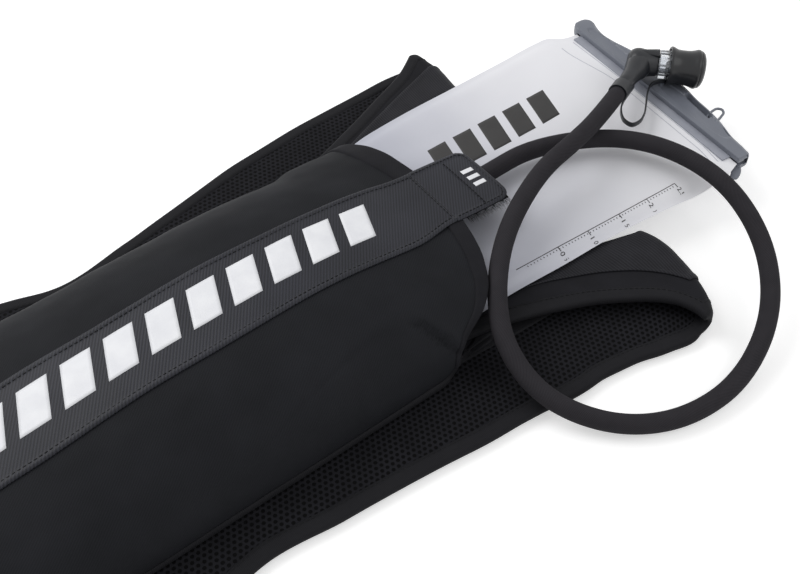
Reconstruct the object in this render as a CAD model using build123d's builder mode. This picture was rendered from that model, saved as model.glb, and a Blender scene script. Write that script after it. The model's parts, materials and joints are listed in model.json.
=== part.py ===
from build123d import *

import os
from math import cos, pi, radians, sin, sqrt, tan

# Hydration pack, lying on its folded shoulder straps with the reservoir drawn half out of its mouth.
# Frame, in millimetres: +X runs up the back panel and out of the mouth, +Y is the wearer's left,
# and +Z points away from the wearer's back. The origin is under the middle of the pack, on the ground.

os.makedirs("parts", exist_ok=True)

# ---------------------------------------------------------------- driving dimensions
OVERALL_LENGTH = 758.0      # lower edge of the back panel to the outer edge of the slide seal
SIDES = {"left": 1, "right": -1}

# Shoulder strap, a sandwich that is folded back under the pack
WEBBING_T = 1.6             # ribbed webbing on the outer face
STRAP_FOAM_T = 5.4
STRAP_MESH_T = 2.0          # spacer mesh on the wearer's side
STRAP_T = WEBBING_T + STRAP_FOAM_T + STRAP_MESH_T
TAPE_W = 3.0                # edge binding tape
FOLD_X = 212.0              # axis of the strap's fold
FOLD_INNER = 100.0          # the fold spans from here ...
FOLD_WEBBING = 163.0        # ... past the edge of the webbing ...
FOLD_OUTER = 194.0          # ... to here, measured from the middle
STRAP_TIP_X = -268.0        # where the padded strap ends and its buckle begins
STRAP_ROOT_X = 23.0         # where the strap's upper layer starts on the panel
TIP_W = 44.0

# Back panel
PANEL_MESH_T = 2.2
PANEL_FOAM_T = 6.2
PANEL_BOTTOM = STRAP_T      # the panel lies on the lower strap layers
PANEL_TOP = PANEL_BOTTOM + PANEL_MESH_T + PANEL_FOAM_T
PANEL_LOWER_X = -OVERALL_LENGTH / 2
PANEL_UPPER_X = 113.0
PANEL_HALF_W = 119.0
PANEL_CORNER = 18.0
PANEL_FOOT_IN = 41.0        # how far its lower edge, its shoulders and its top are drawn in from its sides
PANEL_SHOULDER_IN = 23.0
PANEL_TOP_IN = 47.0
PANEL_FOOT_L = 35.0         # length of the lower corners, and of the two slopes towards the top
PANEL_SLOPE_L = 103.0
PANEL_SHOULDER_L = 53.0

TIP_Y = PANEL_HALF_W + 19.0         # middle of the strap's tip, buckle and adjuster webbing

FOLD_RISE = PANEL_TOP + STRAP_T     # the upper strap layer lies on the panel

# Pouch
POUCH_WALL = 2.5
POUCH_LOWER_X = PANEL_LOWER_X + 27.0
POUCH_HALF_W = PANEL_HALF_W - 1.0
POUCH_CROWN = 79.0          # height of the pouch's crown above the ground
MOUTH_X = 125.0             # where the shell is trimmed to the mouth's curve
FACING_T = 0.8
FACING_W = 24.0             # sewn-in facing along the mouth
STRIP_W = 72.0
STRIP_T = 2.0
STRIP_LOWER_X = POUCH_LOWER_X + 9.0
FLAP_HINGE_X = 88.0         # the strip is sewn down to here, beyond it is the flap
FLAP_TIP_X = 143.0
FLAP_W = 64.0
FLAP_T = 1.6
FLAP_CORNER = 10.0
HOOK_T = 1.1                # hook tape under the flap

# Reservoir
BAG_LOWER_X = -95.0
BAG_CLEAR = 0.4             # over the upper strap layers
BAG_BOTTOM = FOLD_RISE + BAG_CLEAR
BAG_T = 11.4
BAG_EDGE_T = 2.0            # welded edge
BAG_EDGE_LIFT = 0.4
FLANGE_R = 20.0
FLANGE_T = 3.0
FLANGE_RECESS = 2.2         # depth of the port flange in the bag
PORT_BORE_R = 6.0
O_RING_T = 1.6
COUPLER_R = 8.5
COUPLER_RISE = 7.5          # coupler above the middle of the hose
OUTLET_R = 6.6
OUTLET_L = 26.0             # middle of the port to the start of the hose
BUTTON_R = 3.5
BUTTON_OUT = 4.0            # how far the release button stands out of the coupler
BUTTON_TRAVEL = 2.0
SLIP_FIT = 0.05             # radial clearance of a part that turns or slides in another
SOFT_CLEAR = 0.3            # gap between soft parts that move past each other

# Slide seal, on a line that is a little askew across the reservoir's mouth
SEAL_X = OVERALL_LENGTH / 2 - 39.85
SEAL_Y = 3.0
SEAL_SKEW = 3.7             # degrees
SEAL_LIFT = 2.7             # underside of the bar above the underside of the bag
SEAL_H = 12.5
SEAL_END_T = 4.0            # closed far end of the channel
LIP_HALF = 98.0             # half the length of the reservoir's stiff lip
LIP_T = 3.0
LIP_DEPTH = 17.0
LIP_START = 4.0             # the lip leaves the bag this far before the bar
BEAD_T = 6.0                # the lip ends in a bead that the bar hooks behind
BEAD_DEPTH = 5.0
CHANNEL_CLEAR = 0.35
LOOP_R = 6.5
LOOP_T = 2.4

# Drinking hose and bite valve
HOSE_D = 15.0
HOSE_ROUTE = [
    (-34, 0, 46), (22, 0, 46), (84, -2, 46), (146, -5, 48), (201, 2, 50), (272, -38, 53),
    (297, -107, 52), (287, -170, 38), (248, -220, 22), (190, -246, 10), (134, -245, 7.5),
    (89, -223, 9), (59, -185, 16), (51, -147, 28), (62, -108, 43), (106, -62, 57),
    (166, -34, 69), (212, -28, 74), (252, -14, 66), (291, 2, 62.5),
]
CORNER_SHARE = 0.45         # share of the shorter run that each arc of the route takes up
COLLAR_R = 8.4
COLLAR_L = 12.0
SPIGOT_R = 4.0
SPIGOT_L = 8.0
STEM_R = 6.4
STEM_L = 54.0               # from the end of the hose to the middle of the elbow
ELBOW_R = 13.5
BARREL_R = 12.6
BARREL_L = 15.0
VALVE_HEADING = -45.6       # degrees, which way the mouthpiece points
RING_R = 12.8
RING_L = 10.7
RING_SIDES = 12
RING_BORE_R = 6.0
SPIGOT_REACH = 9.0          # of the barrel's spigot
BITE_R = 10.4
BITE_L = 24.0
CAP_R = 15.5
CAP_NECK_R = 14.2
CAP_WAIST_R = 13.8
CAP_BORE_R = 11.3
CAP_L = 32.0
CAP_FLOOR_T = 3.5
TETHER_T = 1.3
TETHER_W = 5.0
TETHER_RING_L = 4.0

# Buckle and adjuster webbing at the strap's tip
LOCK_W = 34.0
LOCK_L = 28.0
LOCK_T = 4.2
LOCK_RAIL = 4.0
LOCK_Z = 4.3                # middle of the buckle
ADJUSTER_W = 24.0
ADJUSTER_T = 1.4


# ---------------------------------------------------------------- shared outlines
def edge_face(outer, inner, side):
    """Add the face between two edges, each a list of (x, distance from the middle)."""
    with BuildLine() as border:
        outer_edge = Spline(*[(x, side * y) for x, y in outer])
        inner_edge = Spline(*[(x, side * y) for x, y in inner])
        Line(outer_edge @ 0, inner_edge @ 0)
        Line(outer_edge @ 1, inner_edge @ 1)
    make_face(border.edges())


def moved(edge, step):
    """The same edge, moved away from the middle by step."""
    return [(x, y + step) for x, y in edge]


def fold_ring(side, layer, span):
    """Add the half ring of one strap layer round the fold, over a span of distances from the middle."""
    start, end = span
    middle = Plane(
        origin=(FOLD_X, side * start, FOLD_RISE / 2), x_dir=(1, 0, 0), z_dir=(0, side, 0)
    )
    with BuildSketch(middle) as half_ring:
        Circle(FOLD_RISE / 2 - layer[0])
        Circle(FOLD_RISE / 2 - layer[1], mode=Mode.SUBTRACT)
        with Locations((-FOLD_RISE / 2, 0)):
            Rectangle(FOLD_RISE, 2 * FOLD_RISE, mode=Mode.SUBTRACT)
    extrude(half_ring.sketch, amount=end - start)


def strap_layer(side, layer, lower, upper):
    """Add the lower and upper slabs of one strap layer, each between an outer and an inner edge.

    layer is the depth at which it starts and ends, measured in from the strap's outer face.
    """
    for height, edges in ((layer[0], lower), (FOLD_RISE - layer[1], upper)):
        with BuildSketch(Plane.XY.offset(height)) as slab:
            edge_face(*edges, side)
        extrude(slab.sketch, amount=layer[1] - layer[0])
    fold_ring(side, layer, (upper[1][-1][1], upper[0][-1][1]))


def tip_tape(side, mode=Mode.ADD):
    """Add or cut the tape across the tip of a strap's lower layers."""
    with BuildSketch(Plane.XY.offset(WEBBING_T)) as tape_end:
        with Locations((STRAP_TIP_X + TAPE_W / 2, side * TIP_Y)):
            Rectangle(TAPE_W, TIP_W - TAPE_W)
    extrude(tape_end.sketch, amount=STRAP_T - WEBBING_T, mode=mode)


def panel_outline(trim, mode=Mode.ADD):
    """Add the back panel's outline, taken in by trim."""
    half = PANEL_HALF_W - trim
    corners = [
        (PANEL_LOWER_X + trim, half - PANEL_FOOT_IN), (PANEL_LOWER_X + PANEL_FOOT_L, half),
        (PANEL_UPPER_X - PANEL_SLOPE_L, half), (PANEL_UPPER_X - PANEL_SHOULDER_L, half - PANEL_SHOULDER_IN),
        (PANEL_UPPER_X - trim, half - PANEL_TOP_IN),
    ]
    mirrored = [(x, -y) for x, y in reversed(corners)]
    with BuildLine() as border:
        FilletPolyline(*corners, *mirrored, radius=PANEL_CORNER - trim, close=True)
    make_face(border.edges(), mode=mode)


def swell(near, far, base, crown):
    """Return points of a curve from near to far, steep at its ends and nearly flat between them."""
    middle, half = (near + far) / 2, (far - near) / 2
    places = [-1.0, -0.985, -0.94, -0.8, -0.5, 0.0, 0.5, 0.8, 0.94, 0.985, 1.0]
    return [(middle + half * t, base + (crown - base) * sqrt(1 - abs(t) ** 3)) for t in places]


def arch(half_width, crown):
    """Add the pouch's cross-section."""
    with BuildLine() as border:
        roof = Spline(*swell(-half_width, half_width, PANEL_TOP, crown))
        Line(roof @ 1, roof @ 0)
    make_face(border.edges())


# Stations along the pouch: share of its length, drawn-in width and drop of the crown
POUCH_L = MOUTH_X - POUCH_LOWER_X
POUCH_STATIONS = [
    (POUCH_LOWER_X + share * POUCH_L, drawn_in, drop)
    for share, drawn_in, drop in (
        (0, 34, 41), (0.0356, 16, 31), (0.109, 4, 20), (0.2138, 0, 12), (0.3816, 0, 4),
        (0.5493, 0, 0), (0.696, 1, 3), (0.8637, 1, 14), (1, 2, 21),
    )
]


def crown_at(x):
    """Return the height of the pouch's crown between its stations."""
    for (x0, _, drop0), (x1, _, drop1) in zip(POUCH_STATIONS, POUCH_STATIONS[1:]):
        if x <= x1:
            break
    return POUCH_CROWN - drop0 - (drop1 - drop0) * (x - x0) / (x1 - x0)


def pouch_form(grow, mode=Mode.ADD):
    """Add the pouch's filled form, grown outwards by grow."""
    sections = []
    for x, drawn_in, drop in POUCH_STATIONS:
        place = x - grow if x == POUCH_LOWER_X else x
        with BuildSketch(Plane.YZ.offset(place)) as section:
            arch(POUCH_HALF_W - drawn_in + grow, POUCH_CROWN - drop + grow)
        sections.append(section.sketch.face())
    loft(sections, mode=mode)


# The mouth's edge, from the right-hand corner round to the left-hand one
MOUTH_EDGE = [
    (10, -126), (28, -106), (50, -97), (73, -81), (94, -62), (110, -40), (116, -10),
    (112, 25), (103, 60), (94, 92), (82, 119), (76, 130),
]


def beyond_mouth(shift):
    """Add the face on the far side of the mouth's edge, moved along by shift."""
    far = MOUTH_X + POUCH_HALF_W
    with BuildLine() as border:
        lip = Spline(*[(x + shift, y) for x, y in MOUTH_EDGE])
        Polyline(lip @ 1, (far, MOUTH_EDGE[-1][1]), (far, MOUTH_EDGE[0][1]), lip @ 0)
    make_face(border.edges())


# ---------------------------------------------------------------- back panel
with BuildPart() as panel_mesh:
    with BuildSketch(Plane.XY.offset(PANEL_BOTTOM)):
        panel_outline(TAPE_W)
    extrude(amount=PANEL_MESH_T)
panel_mesh.part.label = "panel_mesh"
export_step(panel_mesh.part, "parts/panel_mesh.step")

with BuildPart() as panel_foam:
    with BuildSketch(Plane.XY.offset(PANEL_BOTTOM + PANEL_MESH_T)):
        panel_outline(TAPE_W)
    extrude(amount=PANEL_FOAM_T)
panel_foam.part.label = "panel_foam"
export_step(panel_foam.part, "parts/panel_foam.step")

with BuildPart() as panel_binding:
    with BuildSketch(Plane.XY.offset(PANEL_BOTTOM)):
        panel_outline(0)
    extrude(amount=PANEL_MESH_T + PANEL_FOAM_T)
    with BuildSketch(Plane.XY.offset(PANEL_BOTTOM)):
        panel_outline(TAPE_W)
    extrude(amount=PANEL_MESH_T + PANEL_FOAM_T, mode=Mode.SUBTRACT)
panel_binding.part.label = "panel_binding"
export_step(panel_binding.part, "parts/panel_binding.step")

# ---------------------------------------------------------------- pouch
with BuildPart() as pouch_shell:
    pouch_form(0)
    pouch_form(-POUCH_WALL, Mode.SUBTRACT)
    with BuildSketch(Plane.XY):
        beyond_mouth(0)
    extrude(amount=2 * POUCH_CROWN, mode=Mode.SUBTRACT)
    # the rim steps over the straps' upper layers
    with BuildSketch(Plane.XY):
        with Locations((STRAP_ROOT_X + MOUTH_X, 0)):
            Rectangle(2 * MOUTH_X, 3 * POUCH_HALF_W)
    extrude(amount=FOLD_RISE, mode=Mode.SUBTRACT)
pouch_shell.part.label = "pouch_shell"
export_step(pouch_shell.part, "parts/pouch_shell.step")

with BuildPart() as mouth_facing:
    pouch_form(-POUCH_WALL)
    pouch_form(-POUCH_WALL - FACING_T, Mode.SUBTRACT)
    with BuildSketch(Plane.XY):
        beyond_mouth(0)
    extrude(amount=2 * POUCH_CROWN, mode=Mode.SUBTRACT)
    with BuildSketch(Plane.XY.offset(FOLD_RISE + FACING_T)):
        beyond_mouth(-FACING_W)
    extrude(amount=2 * POUCH_CROWN, mode=Mode.INTERSECT)
mouth_facing.part.label = "mouth_facing"
export_step(mouth_facing.part, "parts/mouth_facing.step")

with BuildPart() as centre_strip:
    pouch_form(STRIP_T)
    pouch_form(0, Mode.SUBTRACT)
    strip_length = FLAP_HINGE_X - STRIP_LOWER_X
    with BuildSketch(Plane.XY.offset(PANEL_TOP)):
        with Locations((STRIP_LOWER_X + strip_length / 2, 0)):
            Rectangle(strip_length, STRIP_W)
    extrude(amount=2 * POUCH_CROWN, mode=Mode.INTERSECT)
centre_strip.part.label = "centre_strip"
export_step(centre_strip.part, "parts/centre_strip.step")

# ---------------------------------------------------------------- mouth flap
FLAP_START_X = FLAP_HINGE_X + SOFT_CLEAR
FLAP_BEND_X = 116.0
FLAP_HINGE_Z = crown_at(FLAP_START_X) + HOOK_T + SOFT_CLEAR     # underside of the flap at its hinge
FLAP_BEND_Z = crown_at(FLAP_BEND_X) + HOOK_T + SOFT_CLEAR
FLAP_TIP_Z = FLAP_BEND_Z - 2.9


def flap_profile(start_x, low, high):
    """Add the side view of a layer of the flap, from low to high above the flap's underside."""
    under = [(FLAP_START_X, FLAP_HINGE_Z), (FLAP_BEND_X, FLAP_BEND_Z), (FLAP_TIP_X, FLAP_TIP_Z)]
    slope = (FLAP_BEND_Z - FLAP_HINGE_Z) / (FLAP_BEND_X - FLAP_START_X)
    first = (start_x, FLAP_HINGE_Z + slope * (start_x - FLAP_START_X))
    line = [first, *under[1:]]
    with BuildLine() as border:
        Polyline(
            *[(x, z + low) for x, z in line], *[(x, z + high) for x, z in reversed(line)], close=True
        )
    make_face(border.edges())


with BuildPart() as flap_tab:
    with BuildSketch(Plane.XZ.offset(-FLAP_W / 2)):
        flap_profile(FLAP_START_X, 0, FLAP_T)
    extrude(amount=FLAP_W)
    tip_corners = flap_tab.edges().filter_by(Axis.Z).group_by(Axis.X)[-1]
    fillet(tip_corners, radius=FLAP_CORNER)
flap_tab.part.label = "flap_tab"
export_step(flap_tab.part, "parts/flap_tab.step")

HOOK_INSET = 3.0
with BuildPart() as hook_patch:
    with BuildSketch(Plane.XZ.offset(-FLAP_W / 2 + HOOK_INSET)):
        flap_profile(FLAP_START_X + HOOK_INSET, -HOOK_T, 0)
    extrude(amount=FLAP_W - 2 * HOOK_INSET)
    tip_corners = hook_patch.edges().filter_by(Axis.Z).group_by(Axis.X)[-1]
    fillet(tip_corners, radius=FLAP_CORNER)
    with BuildSketch(Plane.XY):
        with Locations((FLAP_TIP_X, 0)):
            Rectangle(2 * HOOK_INSET, FLAP_W)
    extrude(amount=2 * POUCH_CROWN, mode=Mode.SUBTRACT)
hook_patch.part.label = "hook_patch"
export_step(hook_patch.part, "parts/hook_patch.step")

# ---------------------------------------------------------------- sewn to the top of the panel
LOOP_PATCH_X = 72.0
LOOP_PATCH_L = 30.0
LOOP_PATCH_W = 50.0
with BuildPart() as loop_patch:
    with BuildSketch(Plane.XY.offset(PANEL_TOP)):
        with Locations((LOOP_PATCH_X, 0)):
            RectangleRounded(LOOP_PATCH_L, LOOP_PATCH_W, 4)
    extrude(amount=HOOK_T)
loop_patch.part.label = "loop_patch"
export_step(loop_patch.part, "parts/loop_patch.step")

HANGER_W = 20.0
HANGER_L = 44.0
HANGER_CORNER = 6.0
with BuildPart() as bladder_hanger:
    with BuildSketch(Plane.XY.offset(PANEL_TOP)):
        with Locations((STRAP_ROOT_X + HANGER_W / 2, 0)):
            RectangleRounded(HANGER_L, HANGER_W, HANGER_CORNER)
    extrude(amount=WEBBING_T)
bladder_hanger.part.label = "bladder_hanger"
export_step(bladder_hanger.part, "parts/bladder_hanger.step")

HAUL_W = 80.0
HAUL_BAND = 20.0
HAUL_REACH = 45.0
with BuildPart() as haul_loop:
    with BuildSketch(Plane.XY.offset(PANEL_TOP)):
        with Locations((PANEL_UPPER_X - TAPE_W + HAUL_REACH / 2 - HAUL_BAND / 2, 0)):
            RectangleRounded(HAUL_REACH + HAUL_BAND, HAUL_W, HAUL_BAND)
        with Locations((PANEL_UPPER_X - TAPE_W - HAUL_BAND / 2, 0)):
            Rectangle(
                2 * HAUL_REACH - HAUL_BAND, HAUL_W - 2 * HAUL_BAND, mode=Mode.SUBTRACT
            )
    extrude(amount=WEBBING_T)
haul_loop.part.label = "haul_loop"
export_step(haul_loop.part, "parts/haul_loop.step")

# ---------------------------------------------------------------- shoulder straps
LOWER_OUTER = [
    (STRAP_TIP_X, TIP_Y + TIP_W / 2), (-245, TIP_Y + 25), (-210, TIP_Y + 19), (-167, TIP_Y + 10),
    (-110, 156), (-40, 166),
    (50, 180), (140, 190), (FOLD_X, FOLD_OUTER),
]
LOWER_INNER = [
    (STRAP_TIP_X, TIP_Y - TIP_W / 2), (-245, TIP_Y - 32), (-210, TIP_Y - 49), (-167, TIP_Y - 60),
    (-110, 80), (-40, 87),
    (50, 97), (140, 102), (FOLD_X, FOLD_INNER),
]
LOWER_WEBBING = [
    (STRAP_TIP_X, TIP_Y + 12), (-245, TIP_Y + 7), (-210, TIP_Y - 3), (-167, TIP_Y - 14),
    (-110, 130), (-40, 139),
    (50, 151), (140, 160), (FOLD_X, FOLD_WEBBING),
]
UPPER_INNER = [(STRAP_ROOT_X, 14), (90, 48), (150, 76), (190, 93), (FOLD_X, FOLD_INNER)]
# The right-hand strap is folded back a little closer to the pouch than the left-hand one.
UPPER_OUTER = {
    "left": [(STRAP_ROOT_X, 112), (85, 134), (146, 157), (190, 178), (FOLD_X, FOLD_OUTER)],
    "right": [(STRAP_ROOT_X, 98), (71, 106), (117, 121), (156, 139), (194, 170), (FOLD_X, FOLD_OUTER)],
}
UPPER_WEBBING = {
    "left": [(STRAP_ROOT_X, 90), (92, 120), (146, 140), (FOLD_X, FOLD_WEBBING)],
    "right": [(STRAP_ROOT_X, 70), (80, 84), (135, 101), (171, 121), (201, 149), (FOLD_X, FOLD_WEBBING)],
}
FOAM_LAYER = (WEBBING_T, WEBBING_T + STRAP_FOAM_T)
MESH_LAYER = (FOAM_LAYER[1], STRAP_T)

for name, side in SIDES.items():
    upper_outer = UPPER_OUTER[name]
    with BuildPart() as strap_webbing:
        strap_layer(
            side, (0, WEBBING_T), (LOWER_WEBBING, LOWER_INNER), (UPPER_WEBBING[name], UPPER_INNER)
        )
    strap_webbing.part.label = f"strap_webbing_{name}"
    export_step(strap_webbing.part, f"parts/strap_webbing_{name}.step")

    lower_core = (moved(LOWER_OUTER, -TAPE_W), moved(LOWER_INNER, TAPE_W))
    upper_core = (moved(upper_outer, -TAPE_W), moved(UPPER_INNER, TAPE_W))
    with BuildPart() as strap_foam:
        strap_layer(side, FOAM_LAYER, lower_core, upper_core)
        tip_tape(side, Mode.SUBTRACT)
    strap_foam.part.label = f"strap_foam_{name}"
    export_step(strap_foam.part, f"parts/strap_foam_{name}.step")

    with BuildPart() as strap_mesh:
        strap_layer(side, MESH_LAYER, lower_core, upper_core)
        tip_tape(side, Mode.SUBTRACT)
    strap_mesh.part.label = f"strap_mesh_{name}"
    export_step(strap_mesh.part, f"parts/strap_mesh_{name}.step")

    with BuildPart() as strap_binding:
        tape = (FOAM_LAYER[0], STRAP_T)
        strap_layer(side, tape, (LOWER_OUTER, lower_core[0]), (upper_outer, upper_core[0]))
        strap_layer(side, tape, (lower_core[1], LOWER_INNER), (upper_core[1], UPPER_INNER))
        tip_tape(side)
    strap_binding.part.label = f"strap_binding_{name}"
    export_step(strap_binding.part, f"parts/strap_binding_{name}.step")

# ---------------------------------------------------------------- buckles and adjuster webbing
LOCK_CLEAR = 0.3
BAR_R = 2.0
LOCK_PIVOT_X = STRAP_TIP_X - 10.0       # axis of the buckle's round end bar
LOCK_SLOT = (LOCK_L - 2 * BAR_R - 2 * LOCK_RAIL) / 2
LOCK_TOP = LOCK_Z + LOCK_T / 2
WING_T = 2.0
WING_SEAM_L = 20.0
WING_W = 25.0               # length of the wing's outer edge
WING_ROOT_IN = 49.0         # how far its root is in from the panel's side
WING_CORNER_X = PANEL_LOWER_X + 32.0
WING_UPPER_X = WING_CORNER_X + WING_W + 3.0
TAIL_END_X = PANEL_LOWER_X + 6.0
TAIL_Z = 0.4
CROSS_X = LOCK_PIVOT_X - BAR_R - LOCK_SLOT + 1.4   # where the webbing drops through the inner slot

for name, side in SIDES.items():
    across = Plane.XZ.offset(-side * TIP_Y - LOCK_W / 2)
    webbing_plane = Plane.XZ.offset(-side * TIP_Y - ADJUSTER_W / 2)

    with BuildPart() as ladder_lock:
        with BuildSketch(Plane.XY.offset(LOCK_Z - LOCK_T / 2)):
            with Locations((LOCK_PIVOT_X + BAR_R - LOCK_L / 2, side * TIP_Y)):
                RectangleRounded(LOCK_L, LOCK_W, 3)
            for slot in (0, 1):
                slot_x = LOCK_PIVOT_X - BAR_R - LOCK_SLOT / 2 - slot * (LOCK_SLOT + LOCK_RAIL)
                with Locations((slot_x, side * TIP_Y)):
                    Rectangle(LOCK_SLOT, LOCK_W - 2 * LOCK_RAIL, mode=Mode.SUBTRACT)
            with Locations((LOCK_PIVOT_X, side * TIP_Y)):
                Rectangle(2 * BAR_R + 1, LOCK_W - 2 * LOCK_RAIL, mode=Mode.SUBTRACT)
        extrude(amount=LOCK_T)
        with BuildSketch(across):
            with Locations((LOCK_PIVOT_X, LOCK_Z)):
                Circle(BAR_R)
        extrude(amount=LOCK_W)
    ladder_lock.part.label = f"ladder_lock_{name}"
    export_step(ladder_lock.part, f"parts/ladder_lock_{name}.step")

    # a webbing loop sewn into the strap's tip holds the buckle by its end bar
    with BuildPart() as lock_loop:
        reach = STRAP_TIP_X - LOCK_PIVOT_X
        inner_r = BAR_R + LOCK_CLEAR
        with BuildSketch(webbing_plane):
            with Locations((STRAP_TIP_X, LOCK_Z)):
                SlotCenterToCenter(2 * reach, 2 * (inner_r + ADJUSTER_T))
                SlotCenterToCenter(2 * reach, 2 * inner_r, mode=Mode.SUBTRACT)
            with Locations((STRAP_TIP_X + reach, LOCK_Z)):
                Rectangle(2 * reach, 4 * inner_r, mode=Mode.SUBTRACT)
        extrude(amount=ADJUSTER_W)
    lock_loop.part.label = f"lock_loop_{name}"
    export_step(lock_loop.part, f"parts/lock_loop_{name}.step")

    with BuildPart() as adjuster_webbing:
        run_z = LOCK_TOP + LOCK_CLEAR
        seam_z = PANEL_BOTTOM - ADJUSTER_T
        seam_x = (WING_CORNER_X - WING_SEAM_L, WING_CORNER_X)
        top_line = [
            (seam_x[0], seam_z), (seam_x[1], seam_z), (seam_x[1] + 15, run_z), (CROSS_X, run_z),
        ]
        with BuildSketch(webbing_plane):
            with BuildLine():
                Polyline(
                    (CROSS_X, run_z), (CROSS_X, TAIL_Z + ADJUSTER_T), (TAIL_END_X, TAIL_Z + ADJUSTER_T),
                    (TAIL_END_X, TAIL_Z), (CROSS_X + ADJUSTER_T, TAIL_Z),
                    (CROSS_X + ADJUSTER_T, run_z + ADJUSTER_T),
                    *[(x, z + ADJUSTER_T) for x, z in reversed(top_line[:-1])],
                    *top_line[:-1],
                    close=True,
                )
            make_face()
        extrude(amount=ADJUSTER_W)
    adjuster_webbing.part.label = f"adjuster_webbing_{name}"
    export_step(adjuster_webbing.part, f"parts/adjuster_webbing_{name}.step")

    with BuildPart() as wing:
        wing_edge = TIP_Y + ADJUSTER_W / 2 + 2
        with BuildSketch(Plane.XY.offset(PANEL_BOTTOM)):
            with BuildLine():
                Polyline(
                    (WING_CORNER_X - WING_W, side * (PANEL_HALF_W - WING_ROOT_IN)),
                    (WING_CORNER_X - WING_W, side * wing_edge),
                    (WING_CORNER_X, side * wing_edge), (WING_UPPER_X, side * (PANEL_HALF_W - 1)),
                    close=True,
                )
            make_face()
            panel_outline(0, mode=Mode.SUBTRACT)
        extrude(amount=WING_T)
    wing.part.label = f"wing_{name}"
    export_step(wing.part, f"parts/wing_{name}.step")

# ---------------------------------------------------------------- drinking hose
route = [Vector(*point) for point in HOSE_ROUTE]
runs = [b - a for a, b in zip(route, route[1:])]
bend_radii = [
    CORNER_SHARE * min(a.length, b.length) / tan(radians(a.get_angle(b)) / 2)
    for a, b in zip(runs, runs[1:])
]
with BuildPart() as hose:
    with BuildLine() as hose_path:
        FilletPolyline(*route, radius=bend_radii)
    with BuildSketch(Plane(origin=route[0], z_dir=runs[0])):
        Circle(HOSE_D / 2)
    sweep()
hose.part.label = "hose"
export_step(hose.part, "parts/hose.step")
hose_length = hose_path.wire().length
print("hose radii", [round(radius) for radius in bend_radii])
print("hose runs", [round(run.length) for run in runs])
print("hose length", round(hose_length, 1), "volume ratio",
      round(hose.part.volume / (pi * HOSE_D**2 / 4 * hose_length), 4))

# ---------------------------------------------------------------- valve on the end of the hose
hose_end = route[-1]
stem_axis = runs[-1].normalized()
elbow = hose_end + stem_axis * STEM_L
mouth_axis = Vector(cos(radians(VALVE_HEADING)), sin(radians(VALVE_HEADING)), 0)
valve_section = Plane(
    origin=elbow, x_dir=mouth_axis, z_dir=(mouth_axis.Y, -mouth_axis.X, 0)
)
END_CLEAR = 0.3


def on_stem(distance):
    """Return the plane across the stem at a distance from the end of the hose."""
    return Plane(origin=hose_end + stem_axis * distance, z_dir=stem_axis)


def on_barrel(distance):
    """Return the plane across the mouthpiece at a distance from the middle of the elbow."""
    return Plane(origin=elbow + mouth_axis * distance, x_dir=(0, 0, 1), z_dir=mouth_axis)


with BuildPart() as hose_collar:
    with BuildSketch(on_stem(0)):
        Circle(COLLAR_R)
    extrude(amount=COLLAR_L)
    with BuildSketch(on_stem(COLLAR_L)):
        Circle(SPIGOT_R + SLIP_FIT)
    extrude(amount=-SPIGOT_L - END_CLEAR, mode=Mode.SUBTRACT)
hose_collar.part.label = "hose_collar"
export_step(hose_collar.part, "parts/hose_collar.step")

with BuildPart() as valve_elbow:
    with Locations(on_barrel(0)):
        Sphere(ELBOW_R)
    with BuildSketch(on_stem(COLLAR_L + END_CLEAR)):
        Circle(STEM_R)
    extrude(amount=STEM_L - COLLAR_L - ELBOW_R / 2)
    with BuildSketch(on_stem(COLLAR_L + END_CLEAR)):
        Circle(SPIGOT_R)
    extrude(amount=-SPIGOT_L)
    with BuildSketch(on_barrel(BARREL_L)):
        Circle(BARREL_R)
    extrude(amount=-BARREL_L + ELBOW_R / 4)
    with BuildSketch(on_barrel(BARREL_L)):
        Circle(RING_BORE_R)
    extrude(amount=SPIGOT_REACH)
valve_elbow.part.label = "valve_elbow"
export_step(valve_elbow.part, "parts/valve_elbow.step")

RING_START = BARREL_L + END_CLEAR
RING_END = RING_START + RING_L
with BuildPart() as shutoff_ring:
    with BuildSketch(on_barrel(RING_START)):
        RegularPolygon(radius=RING_R, side_count=RING_SIDES)
        Circle(RING_BORE_R + SLIP_FIT, mode=Mode.SUBTRACT)
    extrude(amount=RING_L)
shutoff_ring.part.label = "shutoff_ring"
export_step(shutoff_ring.part, "parts/shutoff_ring.step")

with BuildPart() as bite_valve:
    with BuildSketch(valve_section):
        with BuildLine():
            Polyline(
                (RING_END, 0), (RING_END, BITE_R), (RING_END + BITE_L / 5, BITE_R),
                (RING_END + BITE_L / 3, BITE_R * 0.72), (RING_END + BITE_L * 0.6, BITE_R * 0.86),
                (RING_END + BITE_L * 0.85, BITE_R * 0.82), (RING_END + BITE_L, BITE_R * 0.5),
                (RING_END + BITE_L, 0), close=True,
            )
        make_face()
    revolve(axis=Axis(elbow, mouth_axis))
bite_valve.part.label = "bite_valve"
export_step(bite_valve.part, "parts/bite_valve.step")

CAP_START = RING_END + 0.5
with BuildPart() as dust_cap:
    with BuildSketch(valve_section):
        with BuildLine():
            Polyline(
                (CAP_START, CAP_BORE_R), (CAP_START, CAP_NECK_R), (CAP_START + CAP_L * 0.2, CAP_NECK_R),
                (CAP_START + CAP_L * 0.4, CAP_WAIST_R), (CAP_START + CAP_L * 0.7, CAP_R),
                (CAP_START + CAP_L * 0.86, CAP_R), (CAP_START + CAP_L, CAP_R * 0.6),
                (CAP_START + CAP_L, 0), (CAP_START + CAP_L - CAP_FLOOR_T, 0),
                (CAP_START + CAP_L - CAP_FLOOR_T, CAP_R * 0.45),
                (CAP_START + CAP_L - 2 * CAP_FLOOR_T, CAP_BORE_R), close=True,
            )
        make_face()
    revolve(axis=Axis(elbow, mouth_axis))
dust_cap.part.label = "dust_cap"
export_step(dust_cap.part, "parts/dust_cap.step")

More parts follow.
